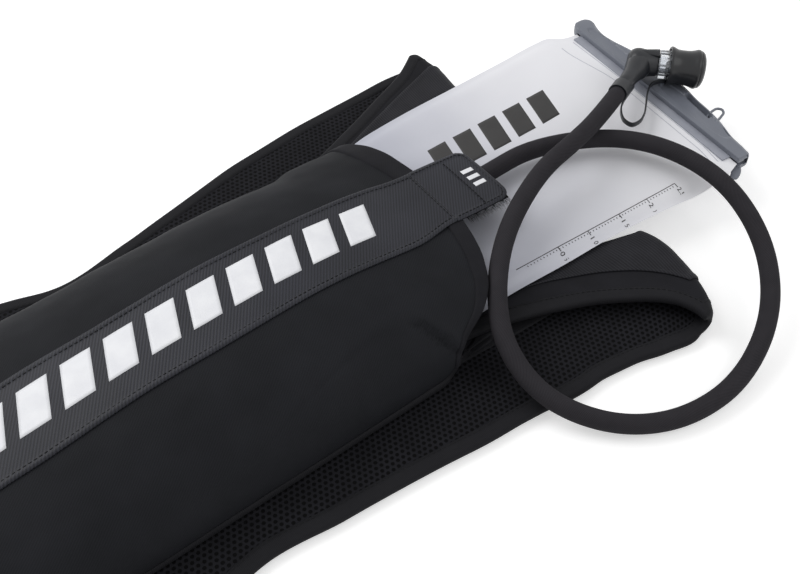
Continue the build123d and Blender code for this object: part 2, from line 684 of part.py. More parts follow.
# a ribbon from a ring on the stem, round in a teardrop, to a ring on the cap's neck
STEM_RING_AT = 27.0
CAP_RING_AT = CAP_START + 1.0
stem_ring_middle = hose_end + stem_axis * (STEM_RING_AT + TETHER_RING_L / 2)
cap_ring_middle = elbow + mouth_axis * (CAP_RING_AT + TETHER_RING_L / 2)
cap_side = Vector(mouth_axis.Y, -mouth_axis.X, 0) * (CAP_NECK_R - 2)
TETHER_TOP = stem_ring_middle.Z - STEM_R - SLIP_FIT
TETHER_PLAN = [(344, -3), (330, 0), (315, -5), (302, -12), (288, -17), (282, -12), (281, -3), (286, 5), (298, 9)]
with BuildPart() as cap_tether:
    with BuildSketch(on_stem(STEM_RING_AT)):
        Circle(STEM_R + SLIP_FIT + TETHER_T)
        Circle(STEM_R + SLIP_FIT, mode=Mode.SUBTRACT)
    extrude(amount=TETHER_RING_L)
    with BuildSketch(on_barrel(CAP_RING_AT)):
        Circle(CAP_NECK_R + SLIP_FIT + TETHER_T)
        Circle(CAP_NECK_R + SLIP_FIT, mode=Mode.SUBTRACT)
    extrude(amount=TETHER_RING_L)
    with BuildSketch(Plane.XY.offset(TETHER_TOP)):
        with BuildLine():
            Spline(
                (cap_ring_middle.X + cap_side.X, cap_ring_middle.Y + cap_side.Y), *TETHER_PLAN,
                (stem_ring_middle.X, stem_ring_middle.Y),
            )
        trace(line_width=TETHER_T)
    extrude(amount=-TETHER_W)
    # the ribbon stops at both rings
    with BuildSketch(on_barrel(CAP_RING_AT - TETHER_RING_L)):
        Circle(CAP_NECK_R + SLIP_FIT)
    extrude(amount=3 * TETHER_RING_L, mode=Mode.SUBTRACT)
    with BuildSketch(on_stem(STEM_RING_AT - TETHER_RING_L)):
        Circle(STEM_R + SLIP_FIT)
    extrude(amount=3 * TETHER_RING_L, mode=Mode.SUBTRACT)
cap_tether.part.label = "cap_tether"
export_step(cap_tether.part, "parts/cap_tether.step")

# ---------------------------------------------------------------- reservoir
skew = radians(SEAL_SKEW)
seal_out = Vector(cos(skew), -sin(skew), 0)     # away from the bag
seal_along = Vector(sin(skew), cos(skew), 0)    # towards the far end of the bar
seal_bottom = BAG_BOTTOM + SEAL_LIFT
seal_middle_z = seal_bottom + SEAL_H / 2
seal_origin = Vector(SEAL_X, SEAL_Y, 0)
bag_top = BAG_BOTTOM + BAG_T
edge_low = BAG_BOTTOM + BAG_EDGE_LIFT


def lens(near, far, low, top, edge):
    """Add the reservoir's cross-section, with a thin welded edge on each side."""
    with BuildLine() as border:
        roof = Spline(*swell(near, far, edge + BAG_EDGE_T, top))
        floor = Spline(*reversed(swell(near, far, edge, low)))
        Line(roof @ 1, floor @ 0)
        Line(floor @ 1, roof @ 0)
    make_face(border.edges())


# Stations along the bag: share of its length, how far its near and far edges are in from the pouch's sides,
# fall of the top, rise of the floor
BAG_L = SEAL_X - BAG_LOWER_X
BAG_STATIONS = [
    (BAG_LOWER_X + share * BAG_L, near_in - POUCH_HALF_W, POUCH_HALF_W - far_in, fall, rise)
    for share, near_in, far_in, fall, rise in (
        (0, 46, 42, 6.5, 0.6), (0.0346, 28, 22, 2.0, 0.2), (0.1267, 18, 13, 0.2, 0),
        (0.357, 19, 10, 0, 0), (0.5505, 23, 9, 0, 0), (0.7025, 21, 9, 0, 0),
        (0.8223, 17, 9, 0, 0.2), (0.9144, 14, 10, -0.2, 1.6),
    )
]
port = Vector(HOSE_ROUTE[0][0] - OUTLET_L, HOSE_ROUTE[0][1], 0)
flange_z = bag_top - FLANGE_RECESS
with BuildPart() as bladder_bag:
    for x, near, far, fall, rise in BAG_STATIONS:
        with BuildSketch(Plane.YZ.offset(x)):
            lens(near, far, BAG_BOTTOM + rise, bag_top - fall, edge_low + 1.3 * rise)
    bag_end = Plane(origin=seal_origin - seal_out * LIP_START, x_dir=seal_along, z_dir=seal_out)
    with BuildSketch(bag_end):
        lens(
            -LIP_HALF, LIP_HALF, seal_middle_z - LIP_T / 2, seal_middle_z + LIP_T / 2,
            seal_middle_z - BAG_EDGE_T / 2,
        )
    loft()
    with BuildSketch(Plane.XY.offset(flange_z)):
        with Locations((port.X, port.Y)):
            Circle(FLANGE_R)
    extrude(amount=bag_top, mode=Mode.SUBTRACT)
bladder_bag.part.label = "bladder_bag"
export_step(bladder_bag.part, "parts/bladder_bag.step")

with BuildPart() as port_flange:
    with BuildSketch(Plane.XY.offset(flange_z)):
        with Locations((port.X, port.Y)):
            Circle(FLANGE_R)
            Circle(PORT_BORE_R, mode=Mode.SUBTRACT)
    extrude(amount=FLANGE_T)
port_flange.part.label = "port_flange"
export_step(port_flange.part, "parts/port_flange.step")

O_RING_SQUEEZE = 0.05
groove_r = PORT_BORE_R - O_RING_T + 2 * O_RING_SQUEEZE
outlet_z = HOSE_ROUTE[0][2]
flange_top = flange_z + FLANGE_T
button_in = COUPLER_R - 3.0
with BuildPart() as coupler_body:
    with BuildSketch(Plane.XY.offset(flange_top)):
        with Locations((port.X, port.Y)):
            Circle(COUPLER_R)
    extrude(amount=outlet_z + COUPLER_RISE - flange_top)
    top_edge = coupler_body.edges().sort_by(Axis.Z)[-1]
    fillet(top_edge, radius=2.5)
    with BuildSketch(Plane.XY.offset(flange_top)):
        with Locations((port.X, port.Y)):
            Circle(groove_r)
    extrude(amount=-FLANGE_T * 0.8)
    outlet_plane = Plane(origin=(port.X, port.Y, outlet_z), x_dir=(0, 1, 0), z_dir=(1, 0, 0))
    with BuildSketch(outlet_plane):
        Circle(OUTLET_R)
    extrude(amount=OUTLET_L)
    button_plane = outlet_plane.offset(-COUPLER_R - BUTTON_OUT)
    with BuildSketch(button_plane):
        Circle(BUTTON_R + SLIP_FIT)
    extrude(amount=BUTTON_OUT + button_in + BUTTON_TRAVEL + END_CLEAR, mode=Mode.SUBTRACT)
coupler_body.part.label = "coupler_body"
export_step(coupler_body.part, "parts/coupler_body.step")

with BuildPart() as release_button:
    with BuildSketch(button_plane):
        Circle(BUTTON_R)
    extrude(amount=BUTTON_OUT + button_in)
release_button.part.label = "release_button"
export_step(release_button.part, "parts/release_button.step")

with BuildPart() as port_o_ring:
    with Locations((port.X, port.Y, flange_z + FLANGE_T / 2)):
        Torus(PORT_BORE_R - O_RING_T / 2 + O_RING_SQUEEZE, O_RING_T / 2)
port_o_ring.part.label = "port_o_ring"
export_step(port_o_ring.part, "parts/port_o_ring.step")

lip_section = Plane(
    origin=seal_origin, x_dir=seal_out, z_dir=(-seal_along.X, -seal_along.Y, 0)
)
with BuildPart() as bladder_lip:
    with BuildSketch(lip_section):
        with Locations(((LIP_DEPTH - LIP_START) / 2, seal_middle_z)):
            Rectangle(LIP_DEPTH + LIP_START, LIP_T)
        with Locations((LIP_DEPTH - BEAD_DEPTH / 2, seal_middle_z)):
            Rectangle(BEAD_DEPTH, BEAD_T)
    extrude(amount=LIP_HALF, both=True)
bladder_lip.part.label = "bladder_lip"
export_step(bladder_lip.part, "parts/bladder_lip.step")

# ---------------------------------------------------------------- slide seal
# Outer edge of the bar: distance out from its inner edge and place along it
SEAL_EDGE = [
    (0, 108), (14, 112), (25, 107), (30, 96), (30, 80), (34, 52), (38.5, 22), (34, -22),
    (26, -60), (23.5, -79), (20.5, -96), (12, -105.5), (0, -108),
]
SEAL_PADS = [(16, 24), (13, -48)]       # recessed thumb pads on its top face
SEAL_PAD_L = 34.0
SEAL_PAD_W = 15.0
SEAL_PAD_DEPTH = 0.8
LOOP_PLACE = (33, -48)
seal_plane = Plane(origin=seal_origin + Vector(0, 0, seal_bottom), x_dir=seal_out, z_dir=(0, 0, 1))
with BuildPart() as seal_bar:
    with BuildSketch(seal_plane):
        with BuildLine():
            bar_edge = Spline(*SEAL_EDGE)
            Line(bar_edge @ 1, bar_edge @ 0)
        make_face()
    extrude(amount=SEAL_H)
    # the channel is open at the near end and closed at the far end
    channel_length = SEAL_EDGE[0][1] - SEAL_END_T
    with BuildSketch(lip_section):
        with Locations(((LIP_DEPTH - LIP_START) / 2, seal_middle_z)):
            Rectangle(LIP_DEPTH + LIP_START, LIP_T + 2 * CHANNEL_CLEAR)
        with Locations((LIP_DEPTH - BEAD_DEPTH / 2, seal_middle_z)):
            Rectangle(BEAD_DEPTH + 2 * CHANNEL_CLEAR, BEAD_T + 2 * CHANNEL_CLEAR)
    extrude(amount=SEAL_EDGE[0][1] + 10, mode=Mode.SUBTRACT)
    with BuildSketch(lip_section):
        with Locations(((LIP_DEPTH - LIP_START) / 2, seal_middle_z)):
            Rectangle(LIP_DEPTH + LIP_START, LIP_T + 2 * CHANNEL_CLEAR)
        with Locations((LIP_DEPTH - BEAD_DEPTH / 2, seal_middle_z)):
            Rectangle(BEAD_DEPTH + 2 * CHANNEL_CLEAR, BEAD_T + 2 * CHANNEL_CLEAR)
    extrude(amount=-channel_length, mode=Mode.SUBTRACT)
    with BuildSketch(seal_plane.offset(SEAL_H)):
        with Locations(*SEAL_PADS):
            SlotCenterToCenter(SEAL_PAD_L, SEAL_PAD_W, rotation=90)
    extrude(amount=-SEAL_PAD_DEPTH, mode=Mode.SUBTRACT)
seal_bar.part.label = "seal_bar"
export_step(seal_bar.part, "parts/seal_bar.step")

with BuildPart() as seal_loop:
    with BuildSketch(seal_plane.offset((SEAL_H - LOOP_T) / 2)):
        with Locations(LOOP_PLACE):
            Circle(LOOP_R)
            Circle(LOOP_R - LOOP_T, mode=Mode.SUBTRACT)
        with BuildLine():
            bar_edge = Spline(*SEAL_EDGE)
            Line(bar_edge @ 1, bar_edge @ 0)
        make_face(mode=Mode.SUBTRACT)
    extrude(amount=LOOP_T)
seal_loop.part.label = "seal_loop"
export_step(seal_loop.part, "parts/seal_loop.step")
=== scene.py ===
"""Dresses the hydration pack: cloth shell, straps, reservoir, drinking hose and bite valve.

Every length is in millimetres in the pack's own frame and becomes metres when a mesh is made. +X runs up the back
panel and out of the mouth, +Y is the wearer's left, +Z points away from the wearer's back.
"""

from __future__ import annotations

import json
import logging
from dataclasses import dataclass
from enum import Enum
from math import cos, pi, radians, sin
from typing import ClassVar

import bpy
import numpy as np
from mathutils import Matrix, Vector

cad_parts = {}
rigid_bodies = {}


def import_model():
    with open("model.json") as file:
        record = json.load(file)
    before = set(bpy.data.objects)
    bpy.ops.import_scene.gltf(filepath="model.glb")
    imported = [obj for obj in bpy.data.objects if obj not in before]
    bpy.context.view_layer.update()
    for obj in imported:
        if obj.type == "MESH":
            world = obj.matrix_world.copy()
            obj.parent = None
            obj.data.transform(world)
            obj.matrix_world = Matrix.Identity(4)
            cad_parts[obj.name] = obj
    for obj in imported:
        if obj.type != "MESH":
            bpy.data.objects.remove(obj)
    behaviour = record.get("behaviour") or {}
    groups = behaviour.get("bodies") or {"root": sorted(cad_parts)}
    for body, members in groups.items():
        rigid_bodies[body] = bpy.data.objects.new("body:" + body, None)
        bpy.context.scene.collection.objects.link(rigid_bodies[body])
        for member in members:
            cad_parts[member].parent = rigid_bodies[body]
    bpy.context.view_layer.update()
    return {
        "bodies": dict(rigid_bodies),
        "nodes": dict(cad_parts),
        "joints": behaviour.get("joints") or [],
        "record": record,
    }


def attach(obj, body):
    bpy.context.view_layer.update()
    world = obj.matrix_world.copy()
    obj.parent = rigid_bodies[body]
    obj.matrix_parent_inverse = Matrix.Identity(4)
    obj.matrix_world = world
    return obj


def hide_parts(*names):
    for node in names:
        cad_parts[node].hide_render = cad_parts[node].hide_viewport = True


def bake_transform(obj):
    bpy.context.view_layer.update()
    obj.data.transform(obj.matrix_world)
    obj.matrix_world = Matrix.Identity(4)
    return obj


MM = 0.001
UP = (0.0, 0.0, 1.0)
DOWN = (0.0, 0.0, -1.0)
WAVE_SCALE = 0.314159  # the wave texture's scale for one wave per unit
log = logging.getLogger("hydration_pack")

Array = np.ndarray
Object, Node, Socket, Tree = bpy.types.Object, bpy.types.Node, bpy.types.NodeSocket, bpy.types.NodeTree
Patterns = tuple[Node, Node]


# ---------------------------------------------------------------- materials
class Coords(Enum):
    """Which coordinates a finish's pattern follows."""

    UV = "UV"
    OBJECT = "Object"


def linear(hex_colour: str) -> tuple[float, float, float, float]:
    """Turn an sRGB hex colour into linear RGBA: c / 12.92 below 0.04045, and ((c + 0.055) / 1.055) ^ 2.4 above it."""
    digits = hex_colour.lstrip("#")
    srgb = np.array([int(digits[i : i + 2], 16) for i in (0, 2, 4)]) / 255
    rgb = np.where(srgb <= 0.04045, srgb / 12.92, ((srgb + 0.055) / 1.055) ** 2.4)
    return (float(rgb[0]), float(rgb[1]), float(rgb[2]), 1.0)


def node(tree: Tree, kind: str, inputs: object = (), **settings: object) -> Node:
    """Add one shader node with its settings, values and links.

    Args:
        tree: the material's or world's node tree.
        kind: the node's type without its ShaderNode prefix.
        inputs: values by socket name or in order; a node stands for its first output.
        **settings: the node's own properties.

    Returns:
        The new node.
    """
    made = tree.nodes.new("ShaderNode" + kind)
    for name, value in settings.items():
        setattr(made, name, value)
    for key, value in inputs.items() if isinstance(inputs, dict) else enumerate(inputs):
        if isinstance(value, Node):
            value = value.outputs[0]
        if isinstance(value, Socket):
            tree.links.new(value, made.inputs[key])
        else:
            made.inputs[key].default_value = value
    return made


@dataclass(frozen=True)
class Finish:
    """A plain moulded or printed finish, and the base of the woven ones."""

    name: str
    colour: str
    shade: str
    roughness: float
    coords: Coords = Coords.OBJECT
    ior: float = 1.5
    specular: float = 0.5
    transmission: float = 0.0
    mottle_mm: float = 18.0
    bump_mm: float = 0.05
    grain_mm: float = 0.8

    def material(self) -> bpy.types.Material:
        """Return this finish's material, made the first time it is asked for."""
        made = bpy.data.materials.get(self.name)
        if made is None:
            made = bpy.data.materials.new(self.name)
            made.use_nodes = True
            tree = made.node_tree
            shader = tree.nodes["Principled BSDF"]
            for socket, value in (("Roughness", self.roughness), ("IOR", self.ior),
                                  ("Specular IOR Level", self.specular), ("Transmission Weight", self.transmission)):
                shader.inputs[socket].default_value = value
            factor, relief = self.pattern(tree)
            mix = node(tree, "Mix", {0: factor, 6: linear(self.shade), 7: linear(self.colour)}, data_type="RGBA")
            bump = node(tree, "Bump", {"Strength": 0.7, "Distance": self.bump_mm * MM, "Height": relief})
            tree.links.new(mix.outputs[2], shader.inputs["Base Color"])
            tree.links.new(bump.outputs[0], shader.inputs["Normal"])
        return made

    def place(self, tree: Tree) -> Socket:
        """Return the coordinates that the pattern follows, in metres."""
        return node(tree, "TexCoord").outputs[self.coords.value]

    def mottle(self, tree: Tree) -> Node:
        """Return soft clouds a few centimetres wide, as handling leaves on any surface."""
        where = node(tree, "TexCoord").outputs["Object"]
        clouds = node(tree, "TexNoise", {"Vector": where, "Scale": 1 / (self.mottle_mm * MM), "Detail": 3.0})
        return node(tree, "MapRange", {"Value": clouds, "From Min": 0.3, "From Max": 0.7})

    def grain(self, tree: Tree) -> Node:
        """Return fine noise at the grain's size."""
        return node(tree, "TexNoise", {"Vector": self.place(tree), "Scale": 1 / (self.grain_mm * MM), "Detail": 2.0})

    def blend(self, tree: Tree, one: object, share: float, other: object) -> Node:
        """Return share of one pattern plus the rest of another."""
        pairs = ((one, share), (other, 1 - share))
        return node(tree, "Math", [node(tree, "Math", pair, operation="MULTIPLY") for pair in pairs], operation="ADD")

    def pattern(self, tree: Tree) -> Patterns:
        """Return the mix from shade to colour, and the relief: soft clouds over a fine grain."""
        grain = self.grain(tree)
        return self.blend(tree, self.mottle(tree), 0.8, grain), grain


@dataclass(frozen=True)
class Cloth(Finish):
    """Woven cloth: a slanted twill line over fine threads."""

    coords: Coords = Coords.UV
    twill_mm: float = 1.7
    slant: float = 52.0
    weave: float = 0.6

    def pattern(self, tree: Tree) -> Patterns:
        """Twill is a wave along one slanted direction, and weave is its share beside the clouds."""
        turned = node(tree, "Mapping", {"Vector": self.place(tree), "Rotation": (0.0, 0.0, radians(self.slant))})
        twill = node(tree, "TexWave", {"Vector": turned, "Scale": WAVE_SCALE / (self.twill_mm * MM)})
        relief = self.blend(tree, twill, 0.6, self.grain(tree))
        light = node(tree, "MapRange", {"Value": relief, "From Min": 0.2, "From Max": 0.8})
        return self.blend(tree, light, self.weave, self.mottle(tree)), relief


@dataclass(frozen=True)
class Ribbed(Finish):
    """Ribbed webbing or tape: rounded ribs across its length, each with small picks of thread."""

    coords: Coords = Coords.UV
    rib_mm: float = 2.2

    def pattern(self, tree: Tree) -> Patterns:
        """A sine across the ribs, broken by a finer sine along each rib."""
        where = self.place(tree)
        ribs, picks = (
            node(tree, "TexWave", {"Vector": where, "Scale": WAVE_SCALE / (size * MM)}, bands_direction=axis)
            for size, axis in ((self.rib_mm, "X"), (self.rib_mm * 0.7, "Y"))
        )
        relief = self.blend(tree, ribs, 0.8, picks)
        return self.blend(tree, relief, 0.75, self.mottle(tree)), relief


@dataclass(frozen=True)
class Spacer(Finish):
    """Knitted spacer mesh: rounded holes in a honeycomb, deeper inside by bump and painted dark inside as shade."""

    coords: Coords = Coords.UV
    cell_mm: float = 4.6

    def pattern(self, tree: Tree) -> Patterns:
        """Distance to the nearest of two offset rectangular lattices is the distance to the nearest hole."""
        tall = 3**0.5
        fit = (1 / (self.cell_mm * MM), 1 / (self.cell_mm * tall * MM), 0.0)
        scaled = node(tree, "VectorMath", (self.place(tree), fit), operation="MULTIPLY")
        reach = []
        for offset in (0.0, 0.5):
            cell = node(tree, "VectorMath", (scaled, (offset, offset, 0.0)), operation="ADD")
            cell = node(tree, "VectorMath", (cell,), operation="FRACTION")
            cell = node(tree, "VectorMath", (cell, (0.5, 0.5, 0.0)), operation="SUBTRACT")
            cell = node(tree, "VectorMath", (cell, (1.0, tall, 0.0)), operation="MULTIPLY")
            reach.append(node(tree, "VectorMath", (cell,), operation="LENGTH").outputs["Value"])
        nearest = node(tree, "Math", reach, operation="MINIMUM")
        edges = {"Value": nearest, "From Min": 0.25, "From Max": 0.36}
        rim = node(tree, "MapRange", edges, interpolation_type="SMOOTHSTEP")
        worn = node(tree, "MapRange", {"Value": self.mottle(tree), "To Min": 0.7, "To Max": 1.0})
        # the nearly black shade colour fills each hole: painted shade inside the holes
        return node(tree, "Math", (rim, worn), operation="MULTIPLY"), self.blend(tree, rim, 0.85, self.grain(tree))


@dataclass(frozen=True)
class Film(Finish):
    """Translucent film with painted shade: greyer where it lies deep in the dark pack, whiter at its free end."""

    shade_full_mm: float = 70.0
    shade_none_mm: float = 300.0

    def pattern(self, tree: Tree) -> Patterns:
        """A ramp of painted shade along the pack between the two places, with soft clouds."""
        along = node(tree, "SeparateXYZ", (node(tree, "TexCoord").outputs["Object"],)).outputs["X"]
        span = {"Value": along, "From Min": self.shade_full_mm * MM, "From Max": self.shade_none_mm * MM}
        # painted shade: the film greys towards the pouch end for shadow and the dark cloth under it, and is white at
        # its free end
        ramp = node(tree, "MapRange", span, interpolation_type="SMOOTHSTEP")
        return self.blend(tree, ramp, 0.9, self.mottle(tree)), self.grain(tree)


# Pack cloth: fine polyamide twill. Its real thread is 0.3 mm, too fine to show, so the twill line is drawn at 1.7 mm.
SHELL_CLOTH = Cloth("polyamide_twill_black", "#202125", "#131417", 0.7, specular=0.12, bump_mm=0.12,
                    mottle_mm=45, grain_mm=0.9, weave=0.45)
# Cover of the straps and facing: the same family of cloth, tighter and flatter.
COVER_CLOTH = Cloth("polyamide_plain_black", "#232327", "#18181b", 0.75, specular=0.10, bump_mm=0.08,
                    mottle_mm=30, grain_mm=0.7, twill_mm=1.3, weave=0.35)
# Coated laminate with embossed slanted lines 2.2 mm apart: catches a soft grey light.
LAMINATE = Cloth("coated_laminate_embossed", "#303139", "#17181c", 0.5, specular=0.22, bump_mm=0.22,
                 mottle_mm=60, grain_mm=1.2, twill_mm=2.2, slant=35.0, weave=0.7)
# Polyamide webbing with 2.2 mm ribs along it.
WEBBING = Ribbed("polyamide_webbing_ribbed", "#2e2e33", "#131316", 0.65, specular=0.15, bump_mm=0.35)
WEBBING_NARROW = Ribbed("polyamide_webbing_narrow", "#2a2b2f", "#121214", 0.65, specular=0.15,
                        bump_mm=0.25, rib_mm=1.8)
# Folded binding tape, grosgrain: 1.1 mm ribs across the tape.
TAPE = Ribbed("grosgrain_binding_tape", "#242427", "#17171a", 0.72, specular=0.12, bump_mm=0.08, rib_mm=1.1)
# Spacer mesh of polyester, holes 4.6 mm apart; its nearly black shade colour is painted shade inside the holes.
SPACER = Spacer("polyester_spacer_mesh", "#202024", "#020203", 0.8, specular=0.10, bump_mm=0.7,
                grain_mm=0.9)
THREAD = Finish("bonded_polyester_thread", "#101113", "#08080a", 0.6, specular=0.2)
HOOK = Finish("hook_tape_moulded_pile", "#1a1b1e", "#060607", 0.8, specular=0.15, bump_mm=0.6, grain_mm=1.4)
# Insulating sleeve: fine knitted polyester over closed foam, a warm dark grey.
SLEEVE = Cloth("knitted_hose_sleeve", "#38363a", "#242326", 0.85, specular=0.12, bump_mm=0.08,
               mottle_mm=12, grain_mm=1.0, twill_mm=1.1, weave=0.8)
ACETAL = Finish("acetal_black_satin", "#15161a", "#101114", 0.30, ior=1.48, bump_mm=0.01, grain_mm=0.5)
# Moulded thermoplastic rubber of the valve: satin black with a cool cast.
RUBBER = Finish("moulded_rubber_black", "#1f2126", "#181a1e", 0.36, ior=1.52, specular=0.4, bump_mm=0.015, grain_mm=0.6)
SEAL_PLASTIC = Finish("seal_polypropylene_grey", "#71757f", "#6a6e78", 0.38, ior=1.49, bump_mm=0.01, grain_mm=0.7)
CLEAR = Finish("clear_polycarbonate", "#eef0f4", "#dfe3e8", 0.08, ior=1.58, transmission=0.92, bump_mm=0.01)
SILICONE = Finish("bite_silicone_clear", "#d2d6dc", "#c3c8d0", 0.35, ior=1.41, transmission=0.5, bump_mm=0.01)
# Milky thermoplastic film, welded at its edges: nearly white, and smooth; its grey shade colour is painted shade,
# greyest at the pouch end.
FILM = Film("milky_polyurethane_film", "#f2f2f6", "#b3b5c1", 0.38, specular=0.4, mottle_mm=60, bump_mm=0.03,
            grain_mm=6.0)
STIFFENER = Finish("translucent_stiffener", "#a3a6b0", "#8f929d", 0.35, specular=0.4)
WELD = Finish("film_weld_line", "#c6c8d0", "#bcbec8", 0.45)
FILM_INK = Finish("screen_print_dark_grey", "#3b3a3a", "#343333", 0.55, specular=0.3)
WHITE_INK = Finish("screen_print_white", "#f2f3f6", "#e4e5ea", 0.5, grain_mm=1.5)


# ---------------------------------------------------------------- shapes
def read_line(stations: object, at: Array) -> Array:
    """Read a smooth line at places along it.

    Args:
        stations: rows of (place, value, ...), with places rising.
        at: the places to read, clipped to the stations' span.

    Returns:
        The values, by cubic Hermite pieces: each keeps the station's value, and its slope is the weighted mean of the
        slopes on both sides.
    """
    table = np.asarray(stations, float)
    x, y = table[:, 0], table[:, 1]
    slope = np.gradient(y, x)
    at = np.clip(np.asarray(at, float), x[0], x[-1])
    k = np.clip(np.searchsorted(x, at, side="right") - 1, 0, len(x) - 2)
    span = x[k + 1] - x[k]
    t = (at - x[k]) / span
    return (
        (1 + 2 * t) * (1 - t) ** 2 * y[k]
        + t * (1 - t) ** 2 * span * slope[k]
        + t * t * (3 - 2 * t) * y[k + 1]
        - t * t * (1 - t) * span * slope[k + 1]
    )


def ease(value: Array, start: float, end: float) -> Array:
    """Rise smoothly from 0 at start to 1 at end: 3t^2 - 2t^3."""
    t = np.clip((np.asarray(value, float) - start) / (end - start), 0, 1)
    return t * t * (3 - 2 * t)


def bump(place: Array, width: float) -> Array:
    """Return a bell, 1 at place 0: e to the minus square of place over width."""
    return np.exp(-((place / width) ** 2))


def ripple(u: Array, v: Array, size: float, seed: float) -> Array:
    """Return gentle folds between about -1 and 1: a sum of five sines in fixed directions.

    Args:
        u: place along the cloth.
        v: place across the cloth.
        size: length of the widest fold.
        seed: turns and shifts the folds.
    """
    total = np.zeros(np.broadcast(u, v).shape)
    for k in range(5):
        angle = seed * 1.7 + 2.399 * k
        wave = size / (1 + 0.55 * k)
        total = total + np.sin(2 * pi * (u * cos(angle) + v * sin(angle)) / wave + seed * 3.1 + 1.9 * k) / (1 + 0.8 * k)
    return total / 2.2


def unit(vectors: Array) -> Array:
    """Scale vectors to length 1."""
    return vectors / np.maximum(np.linalg.norm(vectors, axis=-1, keepdims=True), 1e-9)


def xyz(*parts: object) -> Array:
    """Stack coordinates that fit each other's shapes as a new last axis."""
    return np.stack(np.broadcast_arrays(*parts), axis=-1)


def join(*parts: object, axis: int = 0) -> Array:
    """Put arrays or lists end to end."""
    return np.concatenate(parts, axis=axis)


def mirrored(edge: tuple, middle: Array, sign: float = -1.0) -> Array:
    """Return sign times the edge values, the middle ones, and the edge values backwards."""
    return join(sign * np.array(edge), middle, edge[::-1])


def runs_along(points: Array) -> Array:
    """Return each point's distance from the first, along the line."""
    return join([0], np.cumsum(np.linalg.norm(np.diff(points, axis=0), axis=-1)))


def smooth(points: object, count: int) -> Array:
    """Return count points at even distances on a smooth line that is read over the chords of the given points."""
    given = np.asarray(points, float)
    run = runs_along(given)
    at = np.linspace(0, run[-1], count)
    return np.stack([read_line(np.stack([run, given[:, k]], axis=1), at) for k in range(given.shape[1])], axis=1)


def oval(half_width: float, half_height: float, count: int = 16, power: float = 1.0) -> Array:
    """Return a closed section: cosine and sine, raised to power with their signs kept; a low power squares it."""
    turn = np.linspace(0, 2 * pi, count, endpoint=False)
    wave = np.stack([np.cos(turn), np.sin(turn)], axis=1)
    return np.sign(wave) * np.abs(wave) ** power * [half_width, half_height]


def carry(path: Array, section: Array, up: tuple[float, float, float] = UP) -> Array:
    """Carry a section along a path without twist about a fixed direction.

    Args:
        path: points, shaped (rows, 3).
        section: numbers sideways and upwards, shaped (columns, 2) or (rows, columns, 2).
        up: the direction that stays out of the sideways one.

    Returns:
        The grid: each path point plus the section's first number along the side, which is up crossed with the
        path's direction, and its second along their cross product.
    """
    along = unit(np.gradient(path, axis=0))
    side = unit(np.cross(np.broadcast_to(np.asarray(up, float), along.shape), along))
    rise = np.cross(along, side)
    return path[:, None] + side[:, None] * section[..., :1] + rise[:, None] * section[..., 1:]


def turned(profile: object, centre: Array, axis: Array, count: int = 48) -> Array:
    """Turn a profile about an axis.

    Args:
        profile: rows of distance along the axis and radius.
        centre: the axis's starting point.
        axis: its direction.
        count: points round the axis.

    Returns:
        The grid: centre, plus the distance along the axis, plus the radius times the cosine and sine of the turn.
    """
    table = np.asarray(profile, float)
    axis = np.asarray(axis, float) / np.linalg.norm(axis)
    side = unit(np.cross(axis, UP))
    up = np.cross(side, axis)
    angle = np.linspace(0, 2 * pi, count, endpoint=False)[:, None]
    spoke = side * np.cos(angle) + up * np.sin(angle)
    return np.asarray(centre, float) + axis * table[:, None, :1] + spoke[None] * table[:, None, 1:]


def uv_of(along: Array, across: Array) -> Array:
    """Return UV in metres from two lengths on the surface."""
    return xyz(along, across) * MM


def wrap_uv(points: Array, across: float) -> Array:
    """Return a ring grid's UV: distance along its rows, and a share of the distance across."""
    return uv_of(runs_along(points[:, 0])[:, None], np.linspace(0, across, points.shape[1] + 1))


